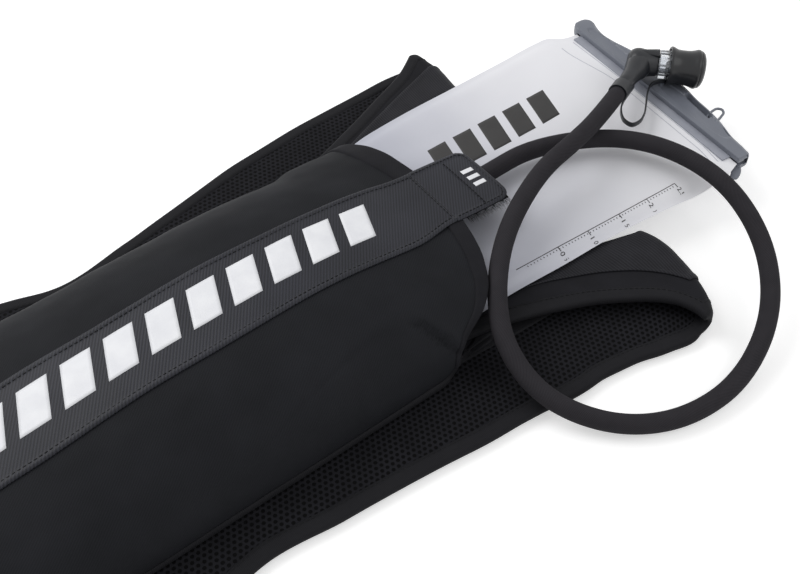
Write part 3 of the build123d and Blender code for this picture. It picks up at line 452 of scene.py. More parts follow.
def build(
    name: str, points: Array, uv: Array | None = None, ring: bool = False, caps: bool = False,
    loop: bool = False, facing: tuple[float, float, float] | None = None, sharp: float = 50.0,
) -> Object:
    """Make one object from a grid of points, or from several equal grids.

    Args:
        name: the piece's name.
        points: millimetres, shaped (rows, columns, 3) or (grids, rows, columns, 3).
        uv: metres on the surface, shaped as points but with 2 numbers, and one more column for a ring.
        ring: whether the last column joins the first.
        caps: whether a ring's first and last rows are closed.
        loop: whether the last row joins the first.
        facing: for an open sheet, the side its faces point to. A closed form faces outwards by its volume's sign.
        sharp: angle in degrees above which an edge stays sharp.

    Returns:
        The object, at the origin.
    """

    def closed(values: Array) -> Array:
        """Repeat a ring's first column and a loop's first row."""
        values = join(values, values[:, :, :1], axis=2) if ring else values
        return join(values, values[:, :1], axis=1) if loop else values

    def corners(values: Array) -> Array:
        """Return the four corners of each face."""
        return np.stack((values[:, :-1, :-1], values[:, 1:, :-1], values[:, 1:, 1:], values[:, :-1, 1:]), axis=3)

    grid = np.asarray(points, float)
    grid = grid[None] if grid.ndim == 3 else grid
    count, rows, columns, _ = grid.shape
    index = np.arange(count * rows * columns).reshape(count, rows, columns)
    quads = corners(closed(index)).reshape(-1, 4)
    uv = closed(grid[..., :2] * MM) if uv is None else np.asarray(uv, float)
    uv = uv[None] if uv.ndim == 3 else uv
    corner_uv = corners(np.broadcast_to(uv, (count, *uv.shape[1:]))).reshape(-1, 4, 2)
    flat = grid.reshape(-1, 3)
    a, b, c, d = (flat[quads[:, i]] for i in range(4))
    normal = np.cross(c - a, d - b)
    out = (a + b + c + d) / 4 - flat.mean(axis=0) if facing is None else np.asarray(facing, float)
    ends = [index[:, 0][:, ::-1], index[:, -1]] if caps else []
    if np.sum(normal * out) < 0:
        quads, corner_uv = quads[:, ::-1], corner_uv[:, ::-1]
        ends = [end[:, ::-1] for end in ends]
    starts = [np.arange(0, quads.size, 4)]
    for order, _ in enumerate(ends):
        starts.append(quads.size + order * index[:, 0].size + np.arange(count) * columns)
    loops = np.concatenate([quads.ravel()] + [end.ravel() for end in ends])
    flat_uv = np.concatenate([corner_uv.reshape(-1, 2)] + [flat[end.ravel()][:, 1:] * MM for end in ends])
    mesh = bpy.data.meshes.new(name)
    mesh.vertices.add(len(flat))
    mesh.vertices.foreach_set("co", (flat * MM).astype(np.float32).ravel())
    mesh.loops.add(len(loops))
    mesh.loops.foreach_set("vertex_index", loops.astype(np.int32))
    mesh.polygons.add(sum(len(start) for start in starts))
    mesh.polygons.foreach_set("loop_start", np.concatenate(starts).astype(np.int32))
    mesh.update(calc_edges=True)
    mesh.uv_layers.new(name="UVMap").data.foreach_set("uv", flat_uv.astype(np.float32).ravel())
    mesh.validate()
    mesh.shade_smooth()
    mesh.set_sharp_from_angle(angle=radians(sharp))
    return link(name, mesh)


def link(name: str, data: bpy.types.ID) -> Object:
    """Put an object with this data in the scene."""
    made = bpy.data.objects.new(name, data)
    bpy.context.scene.collection.objects.link(made)
    return made


def dress(piece: Object, finish: Finish, body: str, slot: str, *replaced: str) -> Object:
    """Give a new piece its finish and its body, and let it stand for CAD nodes.

    Args:
        piece: the new piece.
        finish: what it is made of.
        body: the CAD body it moves with, or empty for a piece attached to no body.
        slot: the record's material slot; not used.
        *replaced: CAD nodes that it replaces.

    Returns:
        The piece.
    """
    piece.data.materials.clear()
    piece.data.materials.append(finish.material())
    if body:
        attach(piece, body)
    if replaced:
        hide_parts(*replaced)
    log.info("%s on %s, %s", piece.name, body or "two bodies", finish.name)
    return piece


def sheet(
    name: str, points: Array, uv: Array | None, thickness: float, *role: object,
    facing: tuple[float, float, float] | None = UP, ring: bool = False,
) -> Object:
    """Build a sheet, give it its thickness away from the side its faces point to, and dress it.

    Args:
        name: the piece's name.
        points: its grid.
        uv: metres on the surface, or None for the plan.
        thickness: millimetres.
        *role: finish, body, slot and the CAD nodes that it replaces.
        facing: the side its faces point to.
        ring: whether the last column joins the first.

    Returns:
        The piece.
    """
    made = build(name, points, uv, ring, facing=facing, sharp=180)
    solid = made.modifiers.new("thickness", "SOLIDIFY")
    solid.thickness = thickness * MM
    solid.offset = -1
    solid.use_even_offset = True
    return dress(made, *role)


def tube(
    name: str, points: Array, uv: Array | None, *role: object, sharp: float = 60.0, caps: bool = True
) -> Object:
    """Build and dress a closed piece from a grid of rings; role is as for a sheet."""
    return dress(build(name, points, uv, ring=True, caps=caps, sharp=sharp), *role)


def keep(frame: dict, finish: Finish, *names: str) -> None:
    """Keep CAD nodes as they are and give them a finish."""
    for name in names:
        kept = frame["nodes"][name]
        if not kept.material_slots:
            kept.data.materials.append(None)
        for held in kept.material_slots:
            held.material = finish.material()
        log.info("%s kept, %s", name, finish.name)


def sew(
    name: str, paths: list[tuple[Array, Array]], pitch: float, length: float, height: float, *role: str
) -> None:
    """Make rows of thread stitches that lie on a surface.

    Each stitch is a small four-sided arch: its ends sink into the cloth and its middle stands height above it.

    Args:
        name: the piece's name.
        paths: for each row, its points and the surface's outward directions there, shaped (points, 3).
        pitch: distance from one stitch to the next.
        length: length of a stitch.
        height: how far it stands up, and half its width.
        *role: body and slot.
    """
    reach = (np.array([-0.5, -0.3, 0.3, 0.5]) * length)[:, None, None]
    rise = (np.array([-0.8, 0.55, 0.55, -0.8]) * height)[:, None, None]
    turn = np.array([[-1, -1], [-1, 1], [1, 1], [1, -1]]) * height * 0.8
    rings = []
    for path, outward in paths:
        run = runs_along(path)
        middle = (np.arange(int(run[-1] / pitch)) + 0.5) * pitch
        ahead, behind, here, up = (
            np.stack([np.interp(middle + shift, run, values[:, k]) for k in range(3)], axis=1)
            for values, shift in ((path, length / 2), (path, -length / 2), (path, 0.0), (outward, 0.0))
        )
        along = unit(ahead - behind)
        up = unit(up - along * np.sum(up * along, axis=1, keepdims=True))
        side = np.cross(along, up)
        here, along, up, side = (values[:, None, None] for values in (here, along, up, side))
        rings.append(here + along * reach + up * (rise + turn[:, 1:]) + side * turn[:, :1])
    dress(build(name, np.concatenate(rings), ring=True, sharp=80), THREAD, *role)


def slanted_bars(starts: Array, width: float, slant: float, middle: float) -> tuple[Array, Array]:
    """Return x and y of a row of slanted bars 34 mm wide in plan, shaped (bars, 9, 13)."""
    across = np.linspace(-1, 1, 13)
    x = starts[:, None, None] + np.linspace(0, 1, 9)[:, None] * width + across * slant
    return x, middle + across * 17.0 + 0 * x


# ---------------------------------------------------------------- pouch
@dataclass
class Pouch:
    """The cloth pouch, its mouth facing, its centre strip with the flap, and what is printed on them."""

    floor: float = 17.4
    strap_top: float = 26.5
    lower: float = -362.0
    half: tuple = ((-362, 72), (-352, 84), (-335, 102), (-300, 114), (-250, 118), (-170, 118), (-90, 118), (-20, 117.5),
                   (60, 117), (125, 116.5))
    crown: tuple = ((-362, 17.6), (-358, 25), (-352, 33.5), (-343, 42), (-330, 49), (-300, 59), (-250, 67), (-170, 75),
                    (-90, 79), (-20, 76.5), (60, 65), (125, 58))
    mouth: tuple = ((-126, 14), (-116, 22.5), (-111, 32.5), (-103, 51.5), (-92, 66.5), (-72, 79.5), (-46, 88.5),
                    (-20, 93.5), (0, 95), (25, 95), (48, 93.3), (69, 91.2), (85, 87.8), (100, 82), (119, 73), (130, 68))
    band: tuple = ((-1, 3), (-0.85, 3), (-0.75, 5), (-0.62, 8.5), (-0.45, 11), (-0.2, 13), (0, 15), (0.3, 17.5),
                   (0.45, 19), (0.6, 17.5), (0.75, 12), (0.9, 8), (1, 6))
    flap_line: tuple = ((88.2, 65.4), (100, 64.1), (116, 62.3), (130, 61.0), (143, 59.6))
    wall: float = 1.4
    strip_half: float = 36.0
    strip_lower: float = -343.0
    flap_half: float = 32.0
    hinge: float = 88.2
    tip: float = 143.0
    corner: float = 10.0
    seam: float = 3.4

    def span(self, w: Array) -> Array:
        """Share of the half width at w: the two-thirds power of the sine of 90 degrees times w to the 1.5."""
        return np.sign(w) * np.abs(np.sin(pi / 2 * np.abs(w) ** 1.5)) ** (2 / 3)

    def bare(self, x: Array, w: Array) -> Array:
        """The smooth shell: height is the cosine that goes with span; its rim steps up onto the straps."""
        x, w = np.broadcast_arrays(np.asarray(x, float), np.asarray(w, float))
        rim = self.floor + (self.strap_top - self.floor) * ease(x, 6, 26)
        z = rim + (read_line(self.crown, x) - rim) * np.cos(pi / 2 * np.abs(w) ** 1.5)
        return xyz(x, read_line(self.half, x) * self.span(w), z)

    def normal(self, x: Array, w: Array) -> Array:
        """Outward direction of the smooth shell, from small steps along and across it."""
        along = self.bare(x + 0.5, w) - self.bare(x - 0.5, w)
        return unit(np.cross(along, self.bare(x, w + 0.002) - self.bare(x, w - 0.002)))

    def arc(self, w: Array, back: bool = False) -> Array:
        """Distance across the cloth from the crown line at w, on the widest section; with back, w at a distance."""
        steps = np.linspace(-1, 1, 801)
        run = runs_along(self.bare(-20.0, steps))
        run -= run[400]
        return np.interp(w, run, steps) if back else np.interp(w, steps, run)

    def folds(self, x: Array, w: Array) -> Array:
        """How far the cloth stands off the smooth shell: soft folds, and one crease near the mouth's near corner."""
        a = self.arc(w)
        calm = ease(x, self.lower, -335) * (1 - 0.8 * ease(np.abs(w), 0.86, 1.0))
        soft = 0.9 * ripple(x, a, 150, 0.4) + 0.35 * ripple(x, a, 52, 2.2) - 0.7
        soft = soft * (0.35 + 0.65 * ease(np.abs(a), 30, 60))
        start, end = np.array([6.0, -90.0]), np.array([20.0, -129.0])
        line = (end - start) / np.linalg.norm(end - start)
        along = (x - start[0]) * line[0] + (a - start[1]) * line[1]
        off = (x - start[0]) * -line[1] + (a - start[1]) * line[0] + 5.0 * np.exp(-((along + 6) / 7))
        crease = (-2.6 * bump(off, 1.7) + 1.6 * bump(off - 6, 5)) * ease(along, -9, 4) * (1 - ease(along, 40, 50))
        return soft * calm + crease - 1.8 * bump(along - 2, 26) * bump(off + 20, 15)

    def skin(self, x: Array, w: Array, lift: float | Array = 0.0) -> Array:
        """The shell's outer face with its folds, moved out by lift."""
        x, w = np.broadcast_arrays(np.asarray(x, float), np.asarray(w, float))
        return self.bare(x, w) + self.normal(x, w) * (self.folds(x, w) + lift)[..., None]

    def mouth_x(self, w: Array) -> Array:
        """Where the mouth's edge crosses each line along the pouch."""
        return read_line(self.mouth, 117 * self.span(w))

    def mouth_band(self, w: Array, back: Array) -> tuple[Array, Array]:
        """Places at a distance back from the mouth's edge, square to it on the unrolled cloth.

        Args:
            w: places along the edge, from -1 to 1.
            back: distances behind it, shaped (distances, places).

        Returns:
            x and w of every place, shaped (distances, places).
        """
        x, a = self.mouth_x(w), self.arc(w)
        slope = np.gradient(x, a)
        square = 1 / np.sqrt(1 + slope**2)
        return x - back * square, self.arc(a + back * square * slope, back=True)

    def make_shell(self) -> None:
        """The outer cloth, from the lower end to the mouth; its rows end on the mouth's curve."""
        w = np.linspace(-1, 1, 145)
        near = self.mouth_x(w) - join(np.arange(0, 6, 1.0), np.arange(6, 60, 2.0))[:, None]
        far = near[-1] + (self.lower - near[-1]) * (1 - (1 - np.linspace(0, 1, 118)[1:, None]) ** 1.15)
        x = join(near, far)
        points = self.skin(x, w)
        points[..., 2] = np.maximum(points[..., 2], self.floor + 0.05)
        role = (SHELL_CLOTH, "pack", "shell_fabric", "pouch_shell")
        sheet("pouch_cloth", points, uv_of(x, self.arc(w)), self.wall, *role)

    def make_facing(self) -> None:
        """The band bound round the mouth: 3 to 19 mm outside, round the edge, and 24 mm inside."""
        w = np.linspace(-0.995, 0.995, 221)
        turn = np.linspace(0, pi, 9)
        outside = np.array([1.03, 1.0, 0.95, 0.86, 0.7, 0.5, 0.3, 0.12])[:, None] * read_line(self.band, w)
        inside = join(-1.3 * np.sin(turn), [1.0, 4.0, 9.0, 15.0, 21.0, 24.0])[:, None] + 0 * w
        back = join(outside, inside)
        lift = join([-1.2, -0.3, 0.65, 1.0, 1.1, 1.05, 0.95, 0.85], -0.95 + 1.8 * np.cos(turn),
                    np.full(6, -2.75))[:, None]
        points = self.skin(*self.mouth_band(w, back), lift)
        points[..., 2] = np.maximum(points[..., 2], self.floor + 0.1)
        run = runs_along(xyz(back[:, 110], lift[:, 0]))
        sheet("mouth_band", points, uv_of(self.arc(w), run[:, None]), 0.5, COVER_CLOTH, "pack", "shell_fabric",
              "mouth_facing")
        w = np.linspace(-0.985, 0.985, 400)
        x, wide = self.mouth_band(w, np.minimum(2.6, read_line(self.band, w) * 0.5)[None])
        rows = [(self.skin(x, wide, 1.0)[0], self.normal(x, wide)[0])]
        sew("mouth_band_stitching", rows, 3.6, 2.4, 0.2, "pack", "shell_fabric")

    def strip_w(self, x: Array, y: Array) -> Array:
        """The shell's across parameter for a sideways distance y near the crown: the inverse of span."""
        t = np.clip(np.abs(y) / read_line(self.half, x), 0, 1)
        return np.sign(y) * (np.arcsin(t**1.5) * 2 / pi) ** (2 / 3)

    def strip_edge(self, x: Array) -> Array:
        """Half the strip's width: it draws in a little towards the flap."""
        return self.strip_half - (self.strip_half - self.flap_half) * ease(x, 45, 85) + 0.7 * np.sin(x / 23)

    def on_strip(self, x: Array, y: Array, lift: float | Array) -> Array:
        """The strip's top face at a place and a sideways distance."""
        return self.skin(x, self.strip_w(x, y), lift)

    def make_strip(self) -> None:
        """The raised strip down the middle, with rolled hems and a row of stitches along each."""
        x = join(np.linspace(self.strip_lower, 70, 150), np.linspace(72, self.hinge - 0.3, 14))[:, None]
        share = mirrored((1.0, 0.995, 0.97, 0.93, 0.89, 0.86), np.linspace(-0.82, 0.82, 27))
        rise = mirrored((0.25, 1.1, 1.75, 1.85, 1.55, 1.2), np.full(27, 1.1), 1)
        y = self.strip_edge(x) * share
        points = self.on_strip(x, y, rise + 0.25 * ripple(x, y, 60, 1.3) * (np.abs(share) < 0.9))
        gap = self.flap_face(self.hinge + 0.1, y[-1], share) - points[-1, :, 2]
        points[..., 2] += ease(x, 58, self.hinge - 1) * gap
        sheet("centre_strip_laminate", points, uv_of(x, y), 0.9, LAMINATE, "pack", "laminated_webbing", "centre_strip")
        rows = []
        fine = np.linspace(self.strip_lower + 2, self.hinge - 1, 600)
        for sign in (-1, 1):
            y = sign * (self.strip_edge(fine) - 4.6)
            line = self.on_strip(fine, y, 1.3)
            gap = self.flap_face(self.hinge, y[-1:], np.array([0.87 * sign])) - line[-1, 2] + 0.1
            line[:, 2] += ease(fine, 58, self.hinge - 1) * gap
            rows.append((line, self.normal(fine, self.strip_w(fine, y))))
        across = np.linspace(-30.5, 30.5, 90)
        height = self.flap_face(self.hinge, across, across / self.strip_half) + 0.12
        rows.append((xyz(86.6, across, height), np.tile(UP, (90, 1))))
        sew("centre_strip_stitching", rows, 3.9, 2.7, 0.3, "pack", "laminated_webbing")

    def make_bars(self) -> None:
        """A plain row of slanted white bars, screen printed along the strip."""
        x, y = slanted_bars(np.arange(-322.0, 10.0, 33.0), 23.0, 6.5, 4.5)
        points = self.on_strip(x, y, 1.32 + 0.25 * ripple(x, y, 60, 1.3))
        sheet("strip_print_bars", points, uv_of(x, y), 0.12, WHITE_INK, "pack", "laminated_webbing")

    def flap_top(self, x: Array, y: Array) -> Array:
        """Height of the flap's top face: it leaves the strip level, dips to its tip and curls down at its sides."""
        return read_line(self.flap_line, x) + 0.5 * np.sin(x / 17 + y / 25) - 0.9 * (np.abs(y) / self.flap_half) ** 4

    def flap_face(self, x: Array, y: Array, share: Array) -> Array:
        """The flap's cloth face: its top sunk by half a millimetre, with a raised hem and a thin outer edge."""
        side = np.abs(share)
        hem = 0.55 * np.maximum(ease(side, 0.84, 0.9), ease(x, self.tip - 5.5, self.tip - 4))
        drop = -0.5 * np.maximum((side > 0.985) * 1.0, ease(x, self.tip - 0.6, self.tip))
        return self.flap_top(x, y) - 0.55 + hem + drop

    def make_flap(self) -> None:
        """The flap beyond the strip: rounded tip corners, hemmed edge, cross stitches, and three short printed bars."""
        x = np.linspace(self.hinge + 0.1, self.tip, 56)[:, None]
        past = np.maximum(x - self.tip + self.corner, 0)
        share = mirrored((1.0, 0.99, 0.96, 0.92, 0.88), np.linspace(-0.84, 0.84, 25))
        y = (self.flap_half - (self.corner - np.sqrt(np.maximum(self.corner**2 - past**2, 0)))) * share
        sheet("mouth_flap_laminate", xyz(x, y, self.flap_face(x, y, share)), None, 1.3, LAMINATE, "flap",
              "laminated_webbing", "flap_tab")
        turn, bend = np.linspace(0, pi / 2, 20), self.corner - self.seam
        rim_x = join(np.linspace(self.hinge + 1, self.tip - self.corner, 60),
                     self.tip - self.corner + bend * np.sin(turn))
        rim_y = join(np.full(60, self.flap_half - self.seam),
                     self.flap_half - self.corner + bend * np.cos(turn))
        border = join(xyz(rim_x, rim_y), xyz(rim_x, -rim_y)[::-1])
        rows = [
            (np.column_stack([line, self.flap_top(*line.T) + 0.05]), np.tile([0.06, 0.0, 1.0], (len(line), 1)))
            for line in (border, xyz(119.0, np.linspace(-28.5, 28.5, 80)))
        ]
        sew("mouth_flap_stitching", rows, 3.6, 2.5, 0.3, "flap", "laminated_webbing")
        x = 130.0 + np.linspace(-1, 1, 9) * 5.5
        y = np.array([-10.0, -2.0, 6.0])[:, None, None] + np.linspace(0, 1, 7)[:, None] * 4.2
        marks = xyz(x, y, self.flap_top(x, y) - 0.33)
        sheet("flap_print_bars", marks, None, 0.1, WHITE_INK, "flap", "laminated_webbing")

    def make_fastener(self) -> None:
        """The hook tape under the flap, with its ragged fringe, and the loop tape on the panel.

        Each face stands off a plane by a product of two sines, as rows of hooks do. The fringe is short spikes whose
        length and slant follow a sine of their place.
        """
        x, y = np.linspace(91.5, 139.5, 60)[:, None], np.linspace(-31.8, 28.6, 76)
        pile = self.flap_top(x, y) - 2.0 + 0.18 * np.sin(x * 5.1) * np.sin(y * 5.1)
        sheet("hook_tape", xyz(x, y, pile), None, 0.7, HOOK, "flap", "hook_tape", "hook_patch", facing=DOWN)
        place = np.linspace(97, 139, 120)
        length = 1.6 + 0.9 * np.sin(place * 7.3) + 0.7 * np.sin(place * 2.9 + 1)
        reach = xyz(0.8 * np.sin(place * 5.7), -5.6 - 1.6 * length, -1.0 - 0.5 * length)
        base = xyz(place, -28.4, self.flap_top(place, -28.4) - 1.7)
        spine = base[:, None] + reach[:, None] * np.array([0.0, 0.5, 1.0])[:, None]
        spine[..., 2] += [0.0, 0.5, 0.0]
        thin = oval(0.22, 0.16, 4) * np.array([1.0, 0.8, 0.25])[:, None, None]
        spikes = spine[:, :, None] + xyz(thin[..., 0], 0, thin[..., 1])
        tube("hook_tape_fringe", spikes, None, HOOK, "flap", "hook_tape", sharp=50, caps=False)
        x, y = np.linspace(57.2, 86.8, 44)[:, None], np.linspace(-24.8, 24.8, 64)
        edge = np.hypot(np.maximum(np.abs(x - 72) - 10.8, 0), np.maximum(np.abs(y) - 20.8, 0)) / 4
        height = 18.35 + 0.12 * np.sin(x * 4.4) * np.sin(y * 4.4) - 0.5 * np.clip(edge, 0, 1) ** 4
        sheet("loop_tape", xyz(x, y, height), None, 0.8, HOOK, "pack", "hook_tape", "loop_patch")

    def make(self) -> None:
        """Build every piece of the pouch."""
        for step in (self.make_shell, self.make_facing, self.make_strip, self.make_bars, self.make_flap,
                     self.make_fastener):
            step()


# ---------------------------------------------------------------- back panel
@dataclass
class BackPanel:
    """The padded back panel that lies on the folded straps: pad, mesh skin, binding, and the two webbing loops."""

    corners: tuple = ((-379, 78), (-344, 119), (10, 119), (60, 96), (113, 72))
    radius: float = 18.0
    under: float = 9.9
    middle: float = 13.4
    over: float = 17.2
    count: int = 420
    loop_z: float = 18.2
    haul: tuple = ((92, 30), (112, 30), (132, 29), (143, 21), (145.6, 8))
    hanger: tuple = ((11.5, 0), (25, 0), (40, 0), (54.5, 0))

    def outline(self, inset: float) -> Array:
        """The rounded outline at even steps, taken in by inset.

        Returns:
            Points round the panel: straight sides joined by arcs, each arc's middle one radius from both sides.
        """
        half = np.asarray(self.corners, float)
        ring = join(half, (half * [1, -1])[::-1])
        before, after = unit(ring - np.roll(ring, 1, axis=0)), unit(np.roll(ring, -1, axis=0) - ring)
        turn = np.arccos(np.clip(np.sum(before * after, axis=1), -1, 1))[:, None]
        sign = np.sign(before[:, 0] * after[:, 1] - before[:, 1] * after[:, 0])
        normal = np.stack([-before[:, 1], before[:, 0]], axis=1) * sign[:, None]
        centre = ring - before * (self.radius * np.tan(turn / 2)) + normal * self.radius
        angle = (np.linspace(0, 1, 9) * turn)[..., None]
        spoke = -normal[:, None] * np.cos(angle) + before[:, None] * np.sin(angle)
        points = (centre[:, None] + spoke * (self.radius - inset)).reshape(-1, 2)
        closed = join(points, points[:1])
        run = runs_along(closed)
        at = np.linspace(0, run[-1], self.count, endpoint=False)
        return np.stack([np.interp(at, run, closed[:, k]) for k in range(2)], axis=1)

    def disc(self, inset: float) -> tuple[Array, Array, Array]:
        """Rings from the outline in to the panel's middle line.

        Returns:
            x, y and depth of the sewn channels: one down each side of the spine and one across each 78 mm; and each
            ring's share of the way in.
        """
        edge = self.outline(inset)
        spine = np.stack([np.clip(edge[:, 0], -300, 45), np.zeros(len(edge))], axis=1)
        share = np.linspace(0, 1, 26)[:, None] ** 1.2
        plan = edge + (spine - edge) * share[..., None]
        x, y = plan[..., 0], plan[..., 1]
        depth = 1.6 * np.maximum(bump(np.abs(y) - 34, 3.2), bump((x + 300) % 78 - 39, 3.2) * (np.abs(y) > 34))
        return x, y, depth * ease(share, 0.06, 0.16), share

    def make(self) -> None:
        """Build the pad, its mesh skin, its binding, the haul loop, and the tab that the reservoir hangs on."""
        x, y, channels, share = self.disc(1.6)
        full = np.sqrt(1 - (1 - np.clip(share / 0.06, 0, 1)) ** 2)
        under = xyz(x, y, self.middle - (self.middle - self.under) * full + channels)
        over = xyz(x, y, self.middle + (self.over - self.middle) * full)
        points = join(over[::-1], under[1:])
        tube("back_panel_pad", points, None, COVER_CLOTH, "pack", "foam", "panel_foam", caps=False)
        x, y, channels, _ = self.disc(2.6)
        sheet("back_panel_mesh", xyz(x, y, 9.15 + channels), None, 0.7, SPACER, "pack", "spacer_mesh", "panel_mesh",
              facing=DOWN, ring=True)
        turn = np.linspace(-pi / 2, pi / 2, 9)
        inset = mirrored((11.0, 8.0, 4.0), 2.6 - 2.5 * np.cos(turn), 1)
        height = join([9.0, 9.02, 9.05], 13.2 + 4.15 * np.sin(turn), [17.4, 17.42, 17.42])
        points = np.stack([xyz(*self.outline(value).T, level) for value, level in zip(inset, height)])
        uv = uv_of(np.linspace(0, 1100, self.count + 1), 2.0 * np.arange(1, 16)[:, None])
        sheet("back_panel_binding", points, uv, 0.5, TAPE, "pack", "binding", "panel_binding", facing=None, ring=True)
        haul = self.haul + tuple((x, -y) for x, y in self.haul[::-1])
        for name, node_name, line, half in (("haul_loop_webbing", "haul_loop", haul, 9.3),
                                            ("reservoir_hanger", "bladder_hanger", self.hanger, 9.6)):
            points = carry(smooth([(x, y, self.loop_z) for x, y in line], 90), oval(half, 0.7, 24, 0.4))
            tube(name, points, wrap_uv(points, 40), WEBBING_NARROW, "pack", "webbing", node_name)


# ---------------------------------------------------------------- shoulder straps
class Side(Enum):
    """Which shoulder a strap is for; its value is the sign of y."""

    LEFT = 1
    RIGHT = -1


@dataclass
class Strap:
    """One padded shoulder strap, folded back under the pack, measured along its outer face from its tip.

    Its lower part is rows of x and the distances of the inner edge, the webbing's edge and the outer edge from the
    pack's middle; its upper part has a table for each. The gains are added to the outer edge. The bow moves the fold
    along by y.
    """

    side: Side
    tip: float = -268.0
    fold: float = 212.0
    root: float = 23.0
    radius: float = 13.2
    pad_over: float = 1.55
    pad_under: float = 8.0
    buckle_y: float = 138.0
    lower: tuple = ((-268, 116, 150, 160), (-245, 106, 145, 163), (-210, 89, 135, 157), (-167, 78, 124, 148),
                    (-110, 80, 130, 156), (-40, 87, 139, 166), (50, 97, 151, 180), (140, 102, 160, 190),
                    (212, 100, 163, 194))
    upper_inner: tuple = ((23, 14), (90, 48), (150, 76), (190, 93), (212, 100))
    upper_outer: ClassVar[dict] = {
        Side.LEFT: ((23, 112), (85, 134), (146, 157), (190, 178), (212, 194)),
        Side.RIGHT: ((23, 98), (71, 106), (117, 121), (156, 139), (194, 170), (212, 194)),
    }
    upper_webbing: ClassVar[dict] = {
        Side.LEFT: ((23, 90), (92, 120), (146, 140), (212, 163)),
        Side.RIGHT: ((23, 70), (80, 84), (135, 101), (171, 121), (201, 149), (212, 163)),
    }
    lower_gain: ClassVar[dict] = {
        Side.LEFT: ((-268, 0), (-210, -2.5), (-188, -4.4), (-155, -3), (-120, -2), (-102, -1.5), (-83, 0), (-60, 1.5),
                    (-20, 4), (0, 5), (40, 3.8), (80, 3), (110, 1), (150, -1), (185, -1.5), (212, -5)),
        Side.RIGHT: ((-268, 0), (-210, 3), (-156, 6), (-126, 5), (-95, 3), (-62, 1.3), (-29, 0), (4, -1), (39, -3.8),
                     (57, -4.2), (84, -3.2), (95, -4), (107, -5.5), (125, -5), (143, -3.5), (160, 0), (178, 2.4),
                     (203, 4.5), (214, 1.5)),
    }
    upper_gain: ClassVar[dict] = {
        Side.LEFT: ((100, 0), (150, 0), (185, -2), (212, -5)),
        Side.RIGHT: ((60, 0), (140, 2), (172, 4), (198, 3), (214, 1)),
    }
    bow: ClassVar[dict] = {
        Side.LEFT: ((85, -4), (131, -2), (164, 1.5), (180, 0), (188, -1), (195, -3)),
        Side.RIGHT: ((80, -2), (90, 2), (98, 4.5), (105, 6.5), (112, 8.5), (120, 9.5), (129, 9.5), (138, 8.2),
                     (153, 5.5), (170, 1), (184, -5.5), (195, -13.5)),
    }
    buckle_line: tuple = ((-257, 7.35), (-270, 7.35), (-278, 7.3), (-280.6, 5.9), (-281.0, 4.3), (-280.6, 2.7),
                          (-278, 1.3), (-270, 1.25), (-257, 1.25))
    adjuster_line: tuple = ((-366.5, 8.28), (-357, 8.28), (-347, 8.2), (-332, 7.4), (-310, 7.35), (-291, 7.3),
                            (-287.2, 6.4), (-286.0, 4.4), (-287.0, 2.2), (-291, 1.15), (-310, 1.1), (-340, 1.12),
                            (-372.5, 1.1))
    wing_inner: tuple = ((-370.0, 84.0), (-356.2, 100.4), (-345, 113.6), (-335, 116.4), (-320.5, 116.2))
    wing_outer: tuple = ((-371.6, 151.6), (-360, 151.8), (-348, 151.0), (-334, 136), (-320.5, 120.2))

    def __post_init__(self) -> None:
        """Work out the lengths: under the pack, past the fold, and in all; and the rows' places along the strap."""
        self.name = self.side.name.lower()
        self.lower_run = self.fold - self.tip
        self.turn_run = self.lower_run + pi * self.radius
        self.length = self.turn_run + self.fold - self.root
        self.run = join(np.linspace(0, self.lower_run, 121)[:-1],
                        self.lower_run + np.linspace(0, pi * self.radius, 19)[:-1],
                        np.linspace(self.turn_run, self.length, 56))

    def widths(self, run: Array) -> tuple[Array, Array, Array]:
        """Distances of the inner edge, the webbing's edge and the outer edge from the middle."""
        lower = run < self.lower_run + pi * self.radius / 2
        below_x = np.minimum(self.tip + run, self.fold)
        above_x = np.minimum(self.fold - (run - self.turn_run), self.fold)
        table = np.array(self.lower)
        inner, webbing, outer, gain = (
            np.where(lower, read_line(below, below_x), read_line(above, above_x))
            for below, above in ((table[:, [0, 1]], self.upper_inner),
                                 (table[:, [0, 2]], self.upper_webbing[self.side]),
                                 (table[:, [0, 3]], self.upper_outer[self.side]),
                                 (self.lower_gain[self.side], self.upper_gain[self.side]))
        )
        return inner, webbing, outer + gain

    def place(self, run: Array, y: Array, depth: Array) -> Array:
        """Carry a section along the strap: straight under the pack, half round the fold, and straight back above it.

        Args:
            run: distance from the tip along the outer face.
            y: distance from the middle of the pack.
            depth: distance in from the outer face.

        Returns:
            Points: the section turns about the fold's axis by the run past it over the radius. Within 80 mm of the
            fold, x also grows by a bow that is read from y, so the fold is rounded in plan.
        """
        run, y, depth = np.broadcast_arrays(np.asarray(run, float), np.asarray(y, float), np.asarray(depth, float))
        angle = np.clip((run - self.lower_run) / self.radius, 0, pi)
        straight = np.minimum(run - self.lower_run, 0) - np.maximum(run - self.turn_run, 0)
        x = self.fold + straight + (self.radius - depth) * np.sin(angle)
        x = x + read_line(self.bow[self.side], y) * ease(x, self.fold - 80, self.fold + 8)
        return xyz(x, self.side.value * y, self.radius - (self.radius - depth) * np.cos(angle))

    def layer(
        self, label: str, y: Array, depth: Array, across: Array, thickness: float, *role: object,
        row: int, axis: int, sign: int,
    ) -> None:
        """Lay a sheet along the strap, and turn its faces the right way.

        Args:
            label: the piece's name without its side.
            y: distances from the middle, a row for each of the strap's.
            depth: depths in from the outer face.
            across: distances across the sheet, for its UV.
            thickness: millimetres.
            *role: finish, body, slot and the CAD nodes that it replaces.
            row: which face is looked at.
            axis: along which axis that face has to point.
            sign: to which side.
        """
        run = self.run[:, None]
        points = self.place(run, y, depth)
        made = sheet(f"{label}_{self.name}", points, uv_of(run, across), thickness, *role, facing=None)
        if made.data.polygons[row].normal[axis] * sign < 0:
            made.data.flip_normals()

